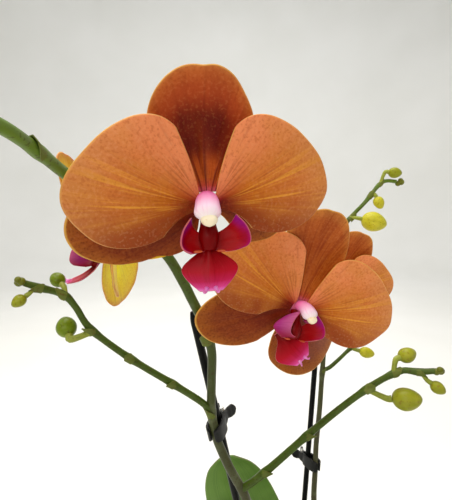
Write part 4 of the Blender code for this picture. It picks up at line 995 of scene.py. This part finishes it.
roots = {
    "root_front": ((-2.0, -9.6, 112.5), (-4, -22, 115), (-5, -34, 111), (-5.5, -42, 100), (-5.5, -45, 88)),
    "root_back": ((5.4, 8.0, 112), (14, 19, 114), (10, 32, 112), (2, 39, 103), (0, 42, 91)),
    "root_over_rim": ((5.0, -8.2, 113), (15, -28, 118), (25, -46.5, 124.8), (31, -57, 121.6),
                      (34, -61.5, 108), (32.5, -59, 86), (29, -57, 68)),
}
rootShape = dict(radii=(2.4, 1.92), rough=0.10, tipRadii=(1.96, 1.9, 1.0),
                 growingTip=((29.25, -57.2, 69), (29, -57, 68), (28.6, -56.8, 66.4)))
for seed, (name, line) in enumerate(roots.items()):
    bm = bmesh.new()
    addTube(bm, line, rootShape["radii"], 1.5, 0, (), rootShape["rough"], seed)
    if name == "root_over_rim":
        addTube(bm, rootShape["growingTip"], rootShape["tipRadii"], 0.6, 1)
    addPiece(name + "Skin", bm, (rootSilver, rootTip), (name,))

barkChips = dict(count=260, inner=12.0, outer=50.0, level=107.0, sink=4.0, longest=13.0, goldenTurn=2.39996)
random.seed(8)
bm = bmesh.new()
for k in range(barkChips["count"]):
    angle = k * barkChips["goldenTurn"]
    share = (k + 0.5) / barkChips["count"]
    ring = math.sqrt(mixNumber(barkChips["inner"] ** 2, barkChips["outer"] ** 2, share))
    size = Vector((random.uniform(5, barkChips["longest"]), random.uniform(4, 8), random.uniform(1.8, 3.6)))
    chip = bmesh.ops.create_cube(bm, size=1.0)["verts"]
    edges = list({e for v in chip for e in v.link_edges})
    made = bmesh.ops.bevel(bm, geom=edges, offset=0.16, segments=1, affect="EDGES", profile=0.5, material=-1)
    verts = list({v for f in made["faces"] for v in f.verts} | {v for v in chip if v.is_valid})
    low = barkChips["level"] - barkChips["sink"] * (ring / barkChips["outer"]) ** 2
    lay = shiftBy(ring * math.cos(angle), ring * math.sin(angle), low + random.uniform(-0.5, 1.6))
    for axis, least, most in (("Z", 0, 6.28), ("X", -0.35, 0.35), ("Y", -0.3, 0.3)):
        lay = lay @ Matrix.Rotation(random.uniform(least, most), 4, axis)
    for vert in verts:
        rough = 1 + 0.28 * noise.noise(vert.co * 2.1 + Vector((k, 0, 0)))
        vert.co = lay @ (vert.co * size * rough * mm)
addPiece("barkChips", bm, (barkBrown,), angle=35)
print("roots and bark ready")


# stakes and the clips that hold the stems to them

stakes = {
    "front_stake": dict(top=(-65.6, -56.0, 367.2), low=(-44.2, -38.8, 254.6)),
    "rear_stake": dict(top=(19.4, 48.4, 319.0), low=(10.8, 36.6, 188.5)),
}
stakeShape = dict(radius=2.0, foot=16.0)


def stakeAt(name, height):
    top, low = Vector(stakes[name]["top"]), Vector(stakes[name]["low"])
    return low + (top - low) * (height - low.z) / (top.z - low.z)


for name, spec in stakes.items():
    bm = bmesh.new()
    # the same radius all the way, drawn in to a blunt top over the last two steps
    radii = (stakeShape["radius"],) * 120 + (1.75, 1.1)
    addTube(bm, (stakeAt(name, stakeShape["foot"]), spec["top"]), radii, 1.5)
    addPiece(name + "Skin", bm, (stakeBlack,), (name,))

clips = {
    "front_clip": dict(stake="front_stake", height=304.0, stem=(-55.4, -51.0, 304.0), stemRadius=2.4),
    "rear_clip": dict(stake="rear_stake", height=221.5, stem=(17.2, 32.5, 220.5), stemRadius=1.95),
}
clipShape = dict(
    high=4.0, wall=1.2, pin=1.0, slack=0.55, edge=0.22, pinOut=3.4, squareness=0.7, rib=0.16,
    # the finger tab's line, past the pin and out from it
    tab=((-0.9, 0), (0.9, 0), (3.2, 1.3), (6.0, 3.0)),
    # share of the half height along a jaw, from its mouth past the pin to the finger tab
    side=((0, 0.72), (0.06, 0.95), (0.14, 1.0), (0.5, 1.0), (0.60, 0.86), (0.68, 0.66), (0.74, 0.68),
          (0.84, 0.84), (0.92, 0.78), (0.97, 0.52), (1.0, 0.16)),
    coil=dict(radius=1.17, wire=0.16, turns=18, pitch=0.46),
)


def clipPlace(spec):
    # origin midway between stem and stake, X from the stem past the stake to the pin, Z up the stake
    stem, stake = Vector(spec["stem"]), stakeAt(spec["stake"], spec["height"])
    up = (Vector(stakes[spec["stake"]]["top"]) - Vector(stakes[spec["stake"]]["low"])).normalized()
    side = stake - stem
    side = (side - up * side.dot(up)).normalized()
    near, far = spec["stemRadius"] + clipShape["slack"], stakeShape["radius"] + clipShape["slack"]
    half = ((stake - stem).length + near + far) / 2
    place = Matrix((side, up.cross(side), up)).transposed().to_4x4()
    place.translation = (stem + side * (half - near)) * mm
    return place, half, max(near, far)


def jawLine(half, wide):
    # a jaw's middle line, seen down the stake: round the bundle, past the pin, out to its finger tab
    a, b = half + clipShape["wall"] / 2, wide + clipShape["wall"] / 2
    clear = clipShape["pin"] + gap + clipShape["wall"] / 2
    square, pinX = clipShape["squareness"], a + clipShape["pinOut"]
    line = []
    for step in range(9):
        angle = math.radians(170 - step * 18)
        cosine = math.cos(angle)
        line.append((a * math.copysign(abs(cosine) ** square, cosine), b * math.sin(angle) ** square, 0))
    for past, out in clipShape["tab"]:
        line.append((pinX + past, clear + out, 0))
    return smoothRoute(line, 0.5), pinX


def makeJaw(name, body, line, side, place):
    bm = bmesh.new()
    bmesh.ops.create_grid(bm, x_segments=8, y_segments=len(line) - 1, size=1.0)
    for vert in bm.verts:
        share = (vert.co.y + 1) / 2
        at = line[round(share * (len(line) - 1))]
        high = clipShape["high"] * readTable(clipShape["side"], share)
        # three low grip ribs on the finger tab
        rib = clipShape["rib"] * max(0.0, math.sin((share - 0.80) / 0.15 * math.tau * 1.5))
        rib *= 0.80 < share < 0.95
        vert.co = Vector((at.x, (at.y + rib) * side, vert.co.x * high)) * mm
    faceTowards(bm, Vector((0, side, 0)))
    piece = addPiece(name + "Skin", bm, (clipBlack,), (name,), place, body, 40)
    shell = piece.modifiers.new("thickness", "SOLIDIFY")
    shell.thickness = clipShape["wall"] * mm
    shell.offset = 0.0
    shell.use_even_offset = True
    soft = piece.modifiers.new("soft", "BEVEL")
    soft.width = clipShape["edge"] * mm
    soft.segments = 3
    soft.limit_method = "ANGLE"
    soft.angle_limit = math.radians(40)


for name, spec in clips.items():
    place, half, wide = clipPlace(spec)
    line, pinX = jawLine(half, wide)
    makeJaw(name + "_fixed_jaw", "plant", line, 1, place)
    makeJaw(name + "_moving_jaw", name + "_jaw", line, -1, place)
    coil = clipShape["coil"]
    steps = coil["turns"] * 16
    turns = []
    for k in range(steps + 1):
        angle = k * math.tau / 16
        turns.append((pinX + coil["radius"] * math.cos(angle), coil["radius"] * math.sin(angle),
                      (k / steps - 0.5) * coil["turns"] * coil["pitch"]))
    bm = bmesh.new()
    addTube(bm, turns, (coil["wire"],) * 2, 0.8)
    addPiece(name + "_coil", bm, (springSteel,), (), place)
print("stakes and clips ready")


# every CAD node that stays gets its own finish
nodeFinish = {"plant_crown": crownGreen, "pot": glazeWhite, "potting_bark": barkBrown,
              "front_clip_spring_pin": springSteel, "rear_clip_spring_pin": springSteel}
for name, surface in nodeFinish.items():
    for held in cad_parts[name].material_slots:
        held.material = surface


# stage, lights, camera

stage = dict(radius=2600.0, height=3400.0, cove=700.0)
bm = bmesh.new()
outline = [(0.0, 0.0), (stage["radius"] - stage["cove"], 0.0)]
for k in range(1, 9):
    angle = math.radians(90 * k / 8)
    outline.append((stage["radius"] - stage["cove"] * (1 - math.sin(angle)),
                    stage["cove"] * (1 - math.cos(angle))))
outline.append((stage["radius"], stage["height"]))
spots = [bm.verts.new((r * mm, 0, z * mm)) for r, z in outline]
lines = [bm.edges.new(pair) for pair in zip(spots, spots[1:])]
bmesh.ops.spin(bm, geom=spots + lines, axis=(0, 0, 1), cent=(0, 0, 0), angle=math.tau, steps=96, use_merge=True)
bmesh.ops.remove_doubles(bm, verts=bm.verts, dist=0.00001)
bmesh.ops.recalc_face_normals(bm, faces=bm.faces)
faceTowards(bm, Vector((0, 0, 1)))
meshObject("paperSweep", bm, (paper,))

lights = {
    "overhead": dict(at=(-200, 150, 1500), aim=(-40, -40, 380), size=1400, power=21.0, colour="#fffaf2"),
    "front": dict(at=(-500, -1500, 1150), aim=(-40, -40, 380), size=1300, power=9.0, colour="#fffdf8"),
    "backdropLow": dict(at=(0, 1250, 1500), aim=(0, 2200, 100), size=1200, power=8.0, colour="#ffffff"),
}
for name, spec in lights.items():
    lamp = bpy.data.lights.new(name, "AREA")
    lamp.shape = "DISK"
    lamp.size = spec["size"] * mm
    lamp.energy = spec["power"]
    lamp.color = hexColour(spec["colour"])[:3]
    held = inScene(name, lamp)
    held.location = point(spec["at"])
    held.rotation_euler = (point(spec["aim"]) - point(spec["at"])).to_track_quat("-Z", "Y").to_euler()

world = bpy.data.worlds.new("studioAir")
bpy.context.scene.world = world
world.use_nodes = True
air = world.node_tree.nodes["Background"].inputs
air["Color"].default_value = hexColour("#fafbfb")
air["Strength"].default_value = 0.42

view = bpy.context.scene.view_settings
view.view_transform = "Standard"
view.look = "None"
view.exposure = 0.0
view.gamma = 1.0

cameraSpec = dict(at=(-50, -225, 420), tilt=82.0, lens=27.07, sensor=36.0)
lens = bpy.data.cameras.new("camera")
lens.lens = cameraSpec["lens"]
lens.sensor_width = cameraSpec["sensor"]
lens.sensor_fit = "AUTO"
lens.clip_start = 0.01
lens.clip_end = 20.0
camera = inScene("camera", lens)
camera.location = point(cameraSpec["at"])
camera.rotation_euler = (math.radians(cameraSpec["tilt"]), 0, 0)
bpy.context.scene.camera = camera
print("stage ready")
